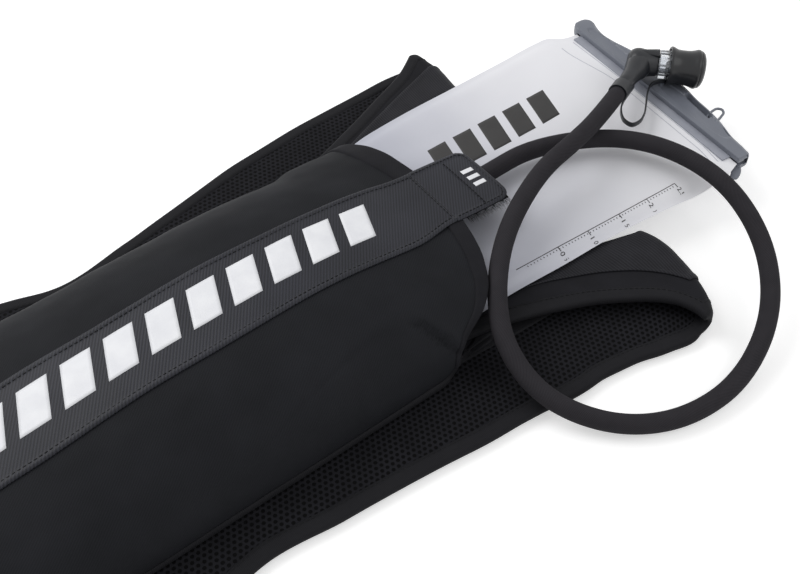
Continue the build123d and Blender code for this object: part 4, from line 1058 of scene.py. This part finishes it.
    def make_pad(self) -> None:
        """The foam in its cloth cover: a closed pad with round edges and a slightly crowned inner face."""
        inner, _, outer = self.widths(self.run)
        inner, outer = (inner + 0.9)[:, None], (outer - 0.9)[:, None]
        half, middle = (self.pad_under - self.pad_over) / 2, (self.pad_over + self.pad_under) / 2
        turn, flat = np.linspace(0, pi, 8), np.linspace(0, 1, 23)[1:-1]
        share = join(flat, np.ones(8), flat[::-1], np.zeros(8))
        bulge = -half + half * np.sin(turn)
        shift = join(np.zeros(21), bulge, np.zeros(21), -bulge)
        level = join(np.full(21, -1.0), -np.cos(turn), np.ones(21), np.cos(turn))
        puff = 0.35 * (1 - (2 * share - 1) ** 4) * (level > 0.5) * (0.75 + 0.25 * np.sin(self.run / 31))[:, None]
        points = self.place(self.run[:, None], inner + (outer - inner) * share + shift, middle + level * half + puff)
        uv = uv_of(self.run[:, None], join(share * 90, share[:1] * 90 + 180))
        pad = tube(f"strap_pad_{self.name}", points, uv, COVER_CLOTH, "pack", "foam", f"strap_foam_{self.name}")

    def make_mesh(self) -> None:
        """The spacer mesh on the wearer's side: crowned between the tapes, and drawn down at them."""
        inner, _, outer = self.widths(self.run)
        share = np.linspace(0, 1, 41)
        y = (inner + 6)[:, None] + (outer - inner - 12)[:, None] * share
        depth = 8.25 + 0.72 * (1 - np.abs(2 * share - 1) ** 6)
        depth = depth + 0.12 * ripple(self.run[:, None], y, 60, self.side.value + 2.0) - 0.1
        self.layer("strap_mesh_skin", y, np.minimum(depth, 9.0), y - 130, 0.6, SPACER, "pack", "spacer_mesh",
                   f"strap_mesh_{self.name}", row=(len(y) - 1) * 40 // 4, axis=2, sign=1)

    def make_webbing(self) -> None:
        """The wide ribbed webbing on the outer face, with a loose double hem along its outer edge."""
        inner, webbing, _ = self.widths(self.run)
        start = (inner + 1.0)[:, None]
        share = join(np.linspace(0, 0.86, 26), [0.89, 0.92, 0.94, 0.955, 0.97, 0.985, 1.0])
        depth = join([1.3, 1.0], np.full(24, 0.75), [0.7, 0.5, 0.2, 0.1, 0.1, 0.25, 0.7])
        y = start + (webbing[:, None] - start) * share
        wave = 0.25 * ripple(self.run[:, None], y, 90, 4.1 + self.side.value) * (share < 0.9)
        self.layer("strap_webbing_band", y, np.clip(depth + wave, 0.08, 1.5), y, 0.7, WEBBING, "pack", "webbing",
                   f"strap_webbing_{self.name}", row=(len(y) - 1) * 32 // 4, axis=2, sign=-1)

    def make_tape(self) -> None:
        """The binding tapes folded over both long edges and the tip, each with its row of stitches.

        A tape's section is distances in from the strap's edge, and depths, from the outer face round to the inner.
        """
        inner, _, outer = (edge[:, None] for edge in self.widths(self.run))
        turn = np.linspace(0, pi, 11)
        inset = join([13.0, 12.6, 8.0, 4.4], 3.7 - 3.6 * np.sin(turn), [4.4, 8.0, 12.2, 12.6])
        depth = join([1.6, 1.25, 1.2, 1.2], 5.1 - 3.85 * np.cos(turn), [8.98, 8.98, 8.95, 8.4])
        wobble = 0.25 * np.sin(self.run / 9)[:, None] * (inset > 6)
        flat = runs_along(xyz(inset, depth))
        for label, y, sign, replaced in (("outer", outer - inset + wobble, 1, (f"strap_binding_{self.name}",)),
                                         ("inner", inner + inset + wobble, -1, ())):
            self.layer(f"strap_tape_{label}", y, depth, flat, 0.45, TAPE, "pack", "binding", *replaced,
                       row=len(inset) // 2, axis=1, sign=self.side.value * sign)
        y = np.linspace(117.5, 158.5, 30)[:, None]
        sheet(f"strap_tape_tip_{self.name}", self.place(inset - 0.1, y, depth), uv_of(y, flat), 0.45, TAPE, "pack",
              "binding", facing=(-1, 0, 0))
        fine = np.linspace(4, self.length - 4, 1500)
        inner, webbing, outer = self.widths(fine)
        rows = []
        for y, level, sign in ((outer - 10.6, 8.98, 1), (inner + 10.6, 8.98, 1), (outer - 11.0, 1.15, -1),
                               (webbing - 2.0, 0.5, -1)):
            line = self.place(fine, y, level)
            rows.append((line, unit(self.place(fine, y, level + 0.5 * sign) - line)))
        sew(f"strap_stitching_{self.name}", rows, 4.2, 2.8, 0.2, "pack", "binding")

    def make_adjuster(self) -> None:
        """The webbing loop that holds the buckle, and the adjuster webbing through the buckle with its free tail."""
        for name, replaced, line, count in (("buckle_loop", "lock_loop", self.buckle_line, 60),
                                            ("adjuster_band", "adjuster_webbing", self.adjuster_line, 110)):
            flat = smooth(line, count)
            path = xyz(flat[:, 0], self.side.value * self.buckle_y, flat[:, 1])
            points = carry(path, oval(0.62, 11.9, 20, 0.45), up=(0.0, 1.0, 0.0))
            tube(f"{name}_{self.name}", points, wrap_uv(points, 50), WEBBING_NARROW, "pack", "webbing",
                 f"{replaced}_{self.name}")

    def make_wing(self) -> None:
        """The cloth wing from the panel's lower corner to the adjuster webbing: straight lines between two edges."""
        inner, outer = smooth(self.wing_inner, 30)[:, None], smooth(self.wing_outer, 30)[:, None]
        share = np.linspace(0, 1, 25)
        plan = inner + (outer - inner) * share[:, None]
        edge = np.maximum(np.abs(2 * share - 1), np.abs(2 * np.linspace(0, 1, 30)[:, None] - 1))
        top = 10.9 - 0.9 * ease(edge, 0.93, 1.0) - 0.35 * bump(edge - 0.88, 0.03)
        sheet(f"wing_cloth_{self.name}", xyz(plan[..., 0], self.side.value * plan[..., 1], top), None, 0.9,
              SHELL_CLOTH, "pack", "shell_fabric", f"wing_{self.name}")

    def make(self, frame: dict) -> None:
        """Build every piece of this strap."""
        for step in (self.make_pad, self.make_mesh, self.make_webbing, self.make_tape, self.make_adjuster,
                     self.make_wing):
            step()
        keep(frame, ACETAL, f"ladder_lock_{self.name}")


# ---------------------------------------------------------------- slide seal
@dataclass
class SlideSeal:
    """The bar that slides over the reservoir's lip, its closed end, its catch and its pull loop."""

    origin: tuple = (339.15, 3.0)
    skew: float = 3.7
    bottom: float = 29.5
    top: float = 42.0
    near: float = -107.5
    joint: float = 103.0
    rail: float = 1.6
    outer: tuple = ((-107.5, 11.5), (-105.5, 13.4), (-101, 14.4), (-81.5, 16.6), (-63.5, 21.5), (-47, 24), (-32, 25),
                    (-15, 27.5), (5, 29.3), (25, 28.5), (42, 25.5), (58.5, 21.5), (74, 17.6), (84.5, 16.3), (96, 18.0),
                    (103, 20.4))
    channel: tuple = ((0.35, 41.75), (0.0, 41.2), (0.0, 37.6), (6.4, 37.6), (6.4, 38.95), (11.9, 38.95), (11.9, 32.5),
                      (6.4, 32.5), (6.4, 33.9), (0.0, 33.9), (0.0, 30.2), (0.25, 29.7))
    pads: tuple = ((9.0, 64.0, 35.0, 5.6), (12.0, -40.0, 44.0, 7.0))
    thumb: tuple = ((103.0, 0.0, 20.4, 6.25), (104.5, 0.1, 20.8, 6.25), (107, 0.8, 20.9, 6.2), (109.5, 2.0, 20.0, 6.0),
                    (111.7, 3.6, 18.2, 5.6), (113.3, 5.4, 16.0, 4.8), (114.3, 7.2, 13.8, 3.6), (114.8, 9.0, 11.8, 1.8))
    catch: tuple = ((2.0, -101, 32.0), (-1.0, -107.5, 31.2), (-6.5, -112.0, 30.4), (-11.5, -113.2, 30.2))
    cord: tuple = ((353.0, -48.8, 36.5), (357.5, -47.6, 37.6), (364, -46.6, 38.2), (368.8, -47.0, 38.2),
                   (371.3, -50.3, 38.2), (369.5, -53.9, 38.2), (364.8, -55.9, 38.1), (358.5, -57.4, 37.4),
                   (354.5, -58.2, 36.5))

    def place(self, out: Array, along: Array, height: Array) -> Array:
        """Turn distances out from the bar's inner edge and along it into the pack's frame."""
        turn = radians(self.skew)
        x = self.origin[0] + out * cos(turn) + along * sin(turn)
        return xyz(x, self.origin[1] - out * sin(turn) + along * cos(turn), height)

    def face(self, out: Array, along: Array, width: Array) -> Array:
        """Height of the top face: flat, with two dished pads, a pocket for the loop and a thin outer rail.

        A pad or the pocket sinks where its superellipse's radius is under 1, with a narrow smooth wall.
        """
        sink = np.zeros(np.broadcast(out, along).shape)
        for middle_out, middle, length, breadth in self.pads:
            reach = (np.abs((along - middle) / length) ** 3 + np.abs((out - middle_out) / breadth) ** 3) ** (1 / 3)
            sink = np.maximum(sink, (0.9 + 0.5 * (1 - reach)) * (1 - ease(reach, 0.93, 1.0)))
        pocket = (np.abs((along + 38) / 17) ** 6 + np.abs((out - width + 5.2) / 2.9) ** 6) ** (1 / 6)
        return self.top - sink - 6.0 * (1 - ease(pocket, 0.9, 1.0)) - 1.1 * ease(out - width, -3.6, -1.4)

    def make_bar(self) -> None:
        """The bar as one section carried along it: its outer edge follows the outline, and a channel opens inside."""
        along = join(np.linspace(self.near, -106, 5)[:-1], np.linspace(-106, self.joint, 210))[:, None]
        width = read_line(self.outer, along)
        turn = np.linspace(0, pi / 2, 5)
        top_out = width - 1.8 - (width - 1.8 - 1.0) * np.linspace(0, 1, 46)
        round_end = 1.4 * (1 - ease(along, self.near, -105.8))
        inner = np.array(self.channel)
        out = (0.8 + (width - 3.0 - 0.8) * np.linspace(0, 1, 4), width - 2.6 + 2.6 * np.sin(turn),
               width - self.rail + self.rail * np.cos(turn), top_out, np.minimum(inner[:, 0], width - 0.6))
        height = (np.full(4, self.bottom), self.bottom + 2.6 - 2.6 * np.cos(turn),
                  self.top - 2.7 + self.rail * np.sin(turn), self.face(top_out, along, width) - round_end,
                  inner[:, 1] - round_end * (inner[:, 1] > 41))
        points = join(*(self.place(part, along, level) for part, level in zip(out, height)), axis=1)
        tube("seal_bar_body", points, None, SEAL_PLASTIC, "seal", "seal_grey", "seal_bar", sharp=35)

    def make_end(self) -> None:
        """The closed far end: squared ovals that swell, lean outwards and close like a thumb."""
        at = np.linspace(0, 1, len(self.thumb))
        along, inner, outer, half = (np.interp(np.linspace(0, 1, 24), at, row)[:, None] for row in zip(*self.thumb))
        section = oval(1.0, 1.0, 40, 0.42)
        out = (inner + outer) / 2 + (outer - inner) / 2 * section[:, 0]
        points = self.place(out, along, (self.bottom + self.top) / 2 + half * section[:, 1])
        tube("seal_bar_end", points, None, SEAL_PLASTIC, "seal", "seal_grey")

    def make_catch(self) -> None:
        """The small rounded catch under the near end: squared ovals along a short curved line."""
        size = np.interp(np.linspace(0, 1, 22), [0, 0.5, 0.85, 1.0], [4.6, 4.2, 3.4, 1.0])[:, None, None]
        points = carry(self.place(*smooth(self.catch, 22).T), oval(1.0, 0.42, 20, 0.6)[None] * size)
        tube("seal_catch", points, None, SEAL_PLASTIC, "seal", "seal_grey")

    def make_loop(self) -> None:
        """The pull loop: a round cord that leaves the pocket, turns outside the bar and goes back in."""
        points = carry(smooth(self.cord, 64), oval(1.15, 1.15, 14))
        tube("seal_pull_loop", points, wrap_uv(points, 7), SEAL_PLASTIC, "seal", "seal_grey", "seal_loop", sharp=50)

    def make(self) -> None:
        """Build every piece of the seal."""
        self.make_bar()
        self.make_end()
        self.make_catch()
        self.make_loop()


# ---------------------------------------------------------------- reservoir
@dataclass
class Reservoir:
    """The film bag with its welded rim, its printed scale and bars, its lip and the port."""

    seal: SlideSeal
    near: tuple = ((-95, -72), (-80, -90), (-40, -97), (60, -92), (92, -91.5), (147, -94), (202, -95.5), (262, -101),
                   (302, -106), (313, -106.5), (323, -107), (340, -103))
    far: tuple = ((-95, 76), (-80, 96), (-40, 105), (60, 108), (92, 113.5), (147, 118), (202, 119), (262, 120.5),
                  (302, 121), (313, 119), (323, 110.5), (340, 105))
    start: float = -95.0
    weld: float = 6.0
    numbers: tuple = ((151.5, "0.5"), (182.7, "1.0"), (216.7, "1.5"), (248.0, "2.0"), (280.4, "2.5"))
    bead: tuple = ((-8.5, 34.6), (6.8, 34.3), (7.0, 33.3), (8.0, 32.9), (10.6, 32.9), (11.3, 33.6), (11.3, 37.9),
                   (10.6, 38.5), (8.0, 38.5), (7.0, 38.1), (6.8, 37.2), (-8.5, 38.0))

    def section(self, x: Array, y: Array) -> tuple[Array, Array]:
        """Heights of the underside, and of the film's top face with its slack folds.

        Both and the weld line draw together at both ends, and the far weld lies higher, on the strap. How full the bag
        is goes from 0 at the weld to 1 as the root of one minus a cube. The folds only sink below its full height.
        """
        shut = 1 - ease(x, self.start, -60)
        seal = ease(x, 285, 338)
        top = 38.1 - 6.0 * shut - 0.9 * seal
        weld = 28.2 + 7.5 * seal + 4.3 * ease(x, 60, 110) * ease(y, 20, 105) * (1 - seal)
        low = 26.9 + 1.0 * shut + 7.5 * seal
        near, far = read_line(self.near, x), read_line(self.far, x)
        t = np.clip(np.abs(y - (near + far) / 2) / ((far - near) / 2 - self.weld), 0, 1)
        full = np.sqrt(1 - t**3)
        slack = (0.9 * ripple(x, y, 120, 3.3) - 0.9) * ease(full, 0.3, 0.9) * (1 - ease(x, 290, 335))
        calm = bump(y, 22.0) * (1 - ease(x, 100, 150))
        over = weld + 0.45 + (top - weld - 0.45) * full + slack * (1 - 0.8 * calm)
        return weld - 0.45 - (weld - 0.45 - low) * full**0.7, over

    def on_film(self, x: Array, y: Array, lift: float) -> Array:
        """A place on the film's top face, given before the rows are skewed to end square to the slide seal."""
        return xyz(self.across(x, y), y, self.section(x, y)[1] + lift)

    def across(self, x: Array, y: Array) -> Array:
        """Move a place along so that rows end square to the slide seal, which is a little askew."""
        return x + ease(x, 150, 338) * np.tan(radians(self.seal.skew)) * (y - self.seal.origin[1])

    def make_bag(self) -> None:
        """The bag as one closed skin: over the top, round the thin weld and back underneath."""
        end = self.seal.origin[0] - 0.4
        x = join(np.linspace(self.start, 270, 86)[:-1], np.linspace(270, end, 40))[:, None]
        share = join([-1.0], np.linspace(-0.995, 0.995, 73), [1.0])
        near, far = read_line(self.near, x), read_line(self.far, x)
        y = (near + far) / 2 + (far - near) / 2 * share
        under, over = self.section(x, y)
        bottom = xyz(self.across(x, y), y, under)[:, ::-1][:, 1:-1]
        points = join(xyz(self.across(x, y), y, over), bottom, axis=1)
        tube("reservoir_film", points, None, FILM, "bladder", "bladder_film", "bladder_bag")

    def ribbon(self, x: Array, y: Array, width: float, lift: float) -> Array:
        """A thin band on the film along a line in plan, shaped (points, 3, 3)."""
        line = xyz(x, y)
        along = unit(np.gradient(line, axis=0))
        side = np.stack([-along[:, 1], along[:, 0]], axis=1)
        place = line[:, None] + side[:, None] * (np.array([-0.5, 0.0, 0.5])[:, None] * width)
        return self.on_film(place[..., 0], place[..., 1], lift)

    def print_on(self, name: str, points: Array) -> None:
        """Lay a printed patch on the film."""
        sheet(name, points, None, 0.06, FILM_INK, "bladder", "bladder_film")

    def scale_y(self, x: Array) -> Array:
        """Where the scale's line runs: straight, slanting a little towards the near edge."""
        return -77.8 - 0.049 * (x - 110)

    def make_print(self) -> None:
        """The volume scale along the near edge, with long and short ticks and plain numbers, and five dark bars."""
        x = np.linspace(110, 280.5, 90)
        self.print_on("scale_line", self.ribbon(x, self.scale_y(x), 0.6, 0.12))
        ticks = np.array([place for place, _ in self.numbers])
        for name, places, long, gap in (("scale_ticks", ticks, 4.2, 0.0),
                                        ("scale_dots", np.arange(120.0, 280.0, 3.2), 1.1, 1.5)):
            steps = np.linspace(0, 1, 4)[:, None]
            x = places[:, None, None] + np.array([-0.5, 0.5]) * 0.7 + 0 * steps
            y = self.scale_y(places)[:, None, None] - gap - steps * long + 0 * x
            self.print_on(name, self.on_film(x, y, 0.12))
        for order, (place, words) in enumerate(self.numbers):
            self.number(f"scale_number_{order + 1}", words, place - 2.2, self.scale_y(place) - 4.8, 6.2)
        x, y = slanted_bars(131.0 + np.arange(5) * 27.2, 19.0, 4.5, 48.5)
        self.print_on("reservoir_print_bars", self.on_film(x, y, 0.12))

    def number(self, name: str, words: str, x: float, y: float, size: float) -> None:
        """Print a plain number on the film, reading towards the near edge.

        Args:
            name: the piece's name.
            words: the number.
            x: where its lower edge lies along the film.
            y: where it starts across the film.
            size: height of its line.
        """
        curve = bpy.data.curves.new(name, "FONT")
        curve.body = words
        curve.size = size
        curve.resolution_u = 3
        mesh, flat = mesh_of(curve)
        placed = self.on_film(x + flat[:, 1], y - flat[:, 0], 0.14)
        mesh.vertices.foreach_set("co", (placed * MM).astype(np.float32).ravel())
        mesh.update()
        dress(link(name, mesh), FILM_INK, "bladder", "bladder_film")

    def make_welds(self) -> None:
        """Weld and fold lines beside the slide seal: two straight ones, and one that bends away at the far end."""
        y = np.linspace(-92, 99, 120)
        lines = [
            self.ribbon(self.seal.origin[0] - back - bend * ease(y, 30, 95) - 2 * ease(-y, 70, 92), y, 0.7, 0.1)
            for back, bend in ((9.5, 1.5), (15.0, 10.0))
        ]
        sheet("reservoir_weld_lines", np.stack(lines), None, 0.05, WELD, "bladder", "bladder_film")

    def make_lip(self) -> None:
        """The stiff lip that the seal slides over: a flat tongue that ends in a bead."""
        out, height = np.array(self.bead).T
        points = self.seal.place(out, np.linspace(-97.5, 97.5, 60)[:, None], height)
        tube("reservoir_lip", points, None, STIFFENER, "bladder", "bladder_film", "bladder_lip", sharp=40)

    def make(self, frame: dict) -> None:
        """Build every piece of the reservoir."""
        self.make_bag()
        self.make_print()
        self.make_welds()
        self.make_lip()
        keep(frame, ACETAL, "port_flange", "coupler_body")
        keep(frame, RUBBER, "port_o_ring", "release_button")


# ---------------------------------------------------------------- drinking hose
def mesh_of(curve: bpy.types.Curve) -> tuple[bpy.types.Mesh, Array]:
    """Turn a curve or text into a mesh, and return it with its points."""
    holder = link(curve.name + "_outline", curve)
    mesh = bpy.data.meshes.new_from_object(holder)
    bpy.data.objects.remove(holder)
    points = np.empty(len(mesh.vertices) * 3, np.float32)
    mesh.vertices.foreach_get("co", points)
    return mesh, points.reshape(-1, 3).astype(float)


@dataclass
class DrinkingHose:
    """The insulated hose."""

    diameter: float = 15.0
    length: float = 1075.0
    end_step: float = 0.8
    route: tuple = (
        (-34, 0, 46), (22, 2, 46), (84, 4, 46), (146, 6, 48), (203, 5.5, 50), (273, -36, 53), (298, -106, 52),
        (287, -170, 38), (248, -220, 22), (190, -246, 10), (134, -245, 7.5), (89, -223, 9), (59, -185, 16),
        (51, -147, 28), (62, -108, 43), (106, -62, 57), (166, -34, 69), (212, -28, 74), (252, -14, 66), (291, 2, 62.5),
    )

    def centre_line(self) -> Array:
        """Return the points of the route's own NURBS spline."""
        curve = bpy.data.curves.new("hose_route", "CURVE")
        curve.dimensions = "3D"
        curve.resolution_u = 14
        spline = curve.splines.new("NURBS")
        spline.points.add(len(self.route) - 1)
        points = np.column_stack([np.array(self.route, float) * MM, np.ones(len(self.route))])
        spline.points.foreach_set("co", points.ravel())
        spline.order_u = 3
        spline.use_endpoint_u = True
        mesh, line = mesh_of(curve)
        bpy.data.curves.remove(curve)
        bpy.data.meshes.remove(mesh)
        return line / MM

    def make(self, frame: dict) -> None:
        """Build the hose as a round tube along its spline, and dress its collar, ring and mouthpiece."""
        line = self.centre_line()
        radius = np.full(len(line), self.diameter / 2)
        radius[0] = radius[-1] = self.diameter / 2 - self.end_step
        points = carry(line, oval(1.0, 1.0, 28)[None] * radius[:, None, None])
        uv = wrap_uv(points, pi * self.diameter)
        hose = tube("drinking_hose", points, uv, SLEEVE, "", "hose_sleeve", "hose", sharp=50)
        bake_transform(hose)
        keep(frame, RUBBER, "hose_collar")
        keep(frame, CLEAR, "shutoff_ring")
        keep(frame, SILICONE, "bite_valve")


@dataclass
class BiteValve:
    """The elbow on the hose's end, the dust cap over the mouthpiece, and the cap's tether."""

    elbow: ClassVar[Array] = np.array((340.79, 22.43, 58.03))
    mouth: ClassVar[Array] = np.array((0.699663, -0.714473, 0.0))
    branch: tuple = (0.921996, 0.378255, -0.082743)
    barrel: tuple = ((-12.6, 0.2), (-12.5, 3.5), (-11.9, 6.6), (-10.6, 9.2), (-8.4, 11.2), (-5.5, 12.6), (-2, 12.9),
                     (3, 12.2), (8, 11.1), (12.6, 10.4), (14.2, 10.2), (14.7, 9.6), (14.7, 6.1), (14.7, 0.2))
    stem: tuple = ((-41.5, 0.2), (-41.5, 6.5), (-41.0, 7.0), (-33, 7.1), (-31.5, 7.3), (-26, 7.6), (-20, 8.4),
                   (-15, 9.6), (-10, 10.8), (-4, 11.4), (0, 11.2), (2, 0.2))
    cap: tuple = ((24.3, 13.1), (24.0, 13.8), (24.3, 14.5), (25.2, 14.9), (26.6, 14.8), (28.2, 14.3), (31, 13.8),
                  (35, 13.6), (40, 13.7), (44, 14.1), (47, 14.8), (48.6, 15.4), (50, 15.7), (51.6, 15.6), (52.4, 15.0),
                  (52.8, 14.7), (53.3, 14.9), (54.6, 14.5), (56.3, 13.0), (57.5, 10.6), (58.2, 7.4), (58.5, 3.5),
                  (58.55, 0.2), (55.2, 0.2), (55.0, 8.6), (53.5, 10.9), (26.9, 11.4), (26.5, 13.1))
    cap_start: float = 24.2
    cap_seat: float = 23.6
    cap_reach: float = 0.93
    cap_girth: float = 1.09
    rim_girth: float = 0.04
    rim_end: float = 29.0
    cap_lift: float = 1.2
    cap_droop: float = 0.06
    tether: tuple = ((353.5, -2.0, 46.5), (345.2, 2.0, 48.5), (335.2, 2.5, 49), (325, -3.2, 49), (312.6, -13.6, 49),
                     (302, -21.7, 49), (292.2, -25.6, 49), (284.8, -24.4, 49), (283.4, -17.4, 49), (288.2, -8.2, 49),
                     (294, -2.5, 49), (301.3, 1.8, 49.5), (310.3, 5.2, 50.5), (319, 8.2, 52))

    def make_elbow(self) -> None:
        """A round barrel with a domed back, a stem that flares into it, and a tear-shaped fin on top."""
        role = (RUBBER, "valve", "black_rubber")
        tube("valve_barrel", turned(self.barrel, self.elbow, self.mouth), None, *role, "valve_elbow", sharp=50)
        tube("valve_stem", turned(self.stem, self.elbow, self.branch), None, *role, sharp=50)
        along = np.linspace(0, 1, 26)[:, None]
        path = self.elbow + self.mouth * (along * 20 - 5.5) + np.array(UP) * (11.2 - 0.3 * along)
        path = path + np.cross(UP, self.mouth) * 1.5
        size = 4.6 * along**0.6 + 0.15
        section = oval(1.0, 1.0, 20)
        grown = xyz(section[:, 0] * size, section[:, 1] * (0.35 * size + 0.9 * ease(along, 0, 0.2)))
        tube("valve_fin", carry(path, grown), None, *role, sharp=70)

    def make_cap(self) -> None:
        """The dust cap: a rolled rim, a waist, a raised ring with a groove behind it, a domed end; hollow inside.

        Its profile is moved from its start to its seat, shortened by reach and widened by girth, more so at the rim.
        """
        shaped = [
            (self.cap_seat + (far - self.cap_start) * self.cap_reach,
             wide * (self.cap_girth + self.rim_girth * (far < self.rim_end)))
            for far, wide in self.cap
        ]
        axis = unit(self.mouth + np.array([0, 0, -self.cap_droop]))
        points = turned(shaped, self.elbow + np.array([0, 0, self.cap_lift]), axis, 64)
        cap = build("dust_cap_shell", points, ring=True, loop=True, sharp=40)
        dress(cap, ACETAL, "dust_cap", "black_rubber", "dust_cap")

    def make(self) -> None:
        """Build the elbow, the cap, and the tether: a flat band on edge, in a drop-shaped loop from cap to stem."""
        self.make_elbow()
        self.make_cap()
        points = carry(smooth(self.tether, 110), oval(0.75, 2.3, 16, 0.5))
        tube("cap_tether_band", points, wrap_uv(points, 12), RUBBER, "valve", "black_rubber", "cap_tether")


# ---------------------------------------------------------------- stage
@dataclass
class Studio:
    """Pale floor, soft light and the camera."""

    camera: tuple = (-301.3, -469.6, 682.0)
    target: tuple = (45.0, -15.2, 0.0)
    lens: float = 50.0
    floor_half: float = 4000.0
    floor_z: float = -0.3
    floor_glow: float = 0.42
    room_light: float = 0.55
    lamps: tuple = (("key_light", (-0.55, 1.25, 1.35), 1.5, 17.0), ("fill_light", (0.9, -1.1, 1.3), 1.4, 5.0))

    def seen(self, tree: Tree) -> Node:
        """Return 1 for rays from the camera, off a mirror or through glass."""
        rays = node(tree, "LightPath").outputs
        found = node(tree, "Math", (rays["Is Camera Ray"], rays["Is Glossy Ray"]), operation="MAXIMUM")
        return node(tree, "Math", (found, rays["Is Transmission Ray"]), operation="MAXIMUM")

    def make_floor(self) -> None:
        """A pale floor that keeps the object's shadow and reads white around it."""
        edge = np.array([-self.floor_half, self.floor_half])
        floor = build("studio_floor", xyz(edge, edge[:, None], self.floor_z), facing=UP)
        paint = bpy.data.materials.new("studio_floor_paint")
        paint.use_nodes = True
        tree = paint.node_tree
        tree.nodes.clear()
        matt = node(tree, "BsdfDiffuse", {"Color": linear("#f2f2f2")})
        strength = node(tree, "Math", (self.seen(tree), self.floor_glow), operation="MULTIPLY")
        glow = node(tree, "Emission", {"Color": (1.0, 1.0, 1.0, 1.0), "Strength": strength})
        node(tree, "OutputMaterial", {"Surface": node(tree, "AddShader", (matt, glow))})
        floor.data.materials.append(paint)

    def aim(self, holder: Object, place: Vector, at: Vector) -> None:
        """Put a lamp or camera at a place and point it at another."""
        holder.location = place
        holder.rotation_euler = (at - place).to_track_quat("-Z", "Y").to_euler()

    def make_light(self) -> None:
        """A broad key light from the far left, a weak fill from the near right, and an even white room."""
        for name, place, size, power in self.lamps:
            lamp = bpy.data.lights.new(name, "AREA")
            lamp.shape = "DISK"
            lamp.size = size
            lamp.energy = power
            self.aim(link(name, lamp), Vector(place), Vector((0.0, 0.0, 0.03)))
        world = bpy.data.worlds.new("studio_room")
        bpy.context.scene.world = world
        world.use_nodes = True
        tree = world.node_tree
        tree.nodes.clear()
        strength = node(tree, "MapRange", {"Value": self.seen(tree), "To Min": self.room_light, "To Max": 1.0})
        room = node(tree, "Background", {"Color": (1.0, 1.0, 1.0, 1.0), "Strength": strength})
        node(tree, "OutputWorld", {"Surface": room})

    def make(self) -> None:
        """Set up the floor, the light, and a 50 mm lens on a 36 mm sensor at the viewing angle."""
        self.make_floor()
        self.make_light()
        lens = bpy.data.cameras.new("camera")
        lens.lens = self.lens
        lens.sensor_width = 36.0
        lens.clip_start = 0.05
        lens.clip_end = 50.0
        bpy.context.scene.camera = link("camera", lens)
        self.aim(bpy.context.scene.camera, Vector(self.camera) * MM, Vector(self.target) * MM)
        bpy.context.scene.view_settings.view_transform = "Standard"


def main() -> None:
    """Load the frame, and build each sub-assembly in order."""
    logging.basicConfig(level=logging.INFO, format="%(message)s")
    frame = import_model()
    Studio().make()
    BiteValve().make()
    DrinkingHose().make(frame)
    Pouch().make()
    BackPanel().make()
    for side in Side:
        Strap(side).make(frame)
    seal = SlideSeal()
    Reservoir(seal).make(frame)
    seal.make()


if __name__ == "__main__":
    main()
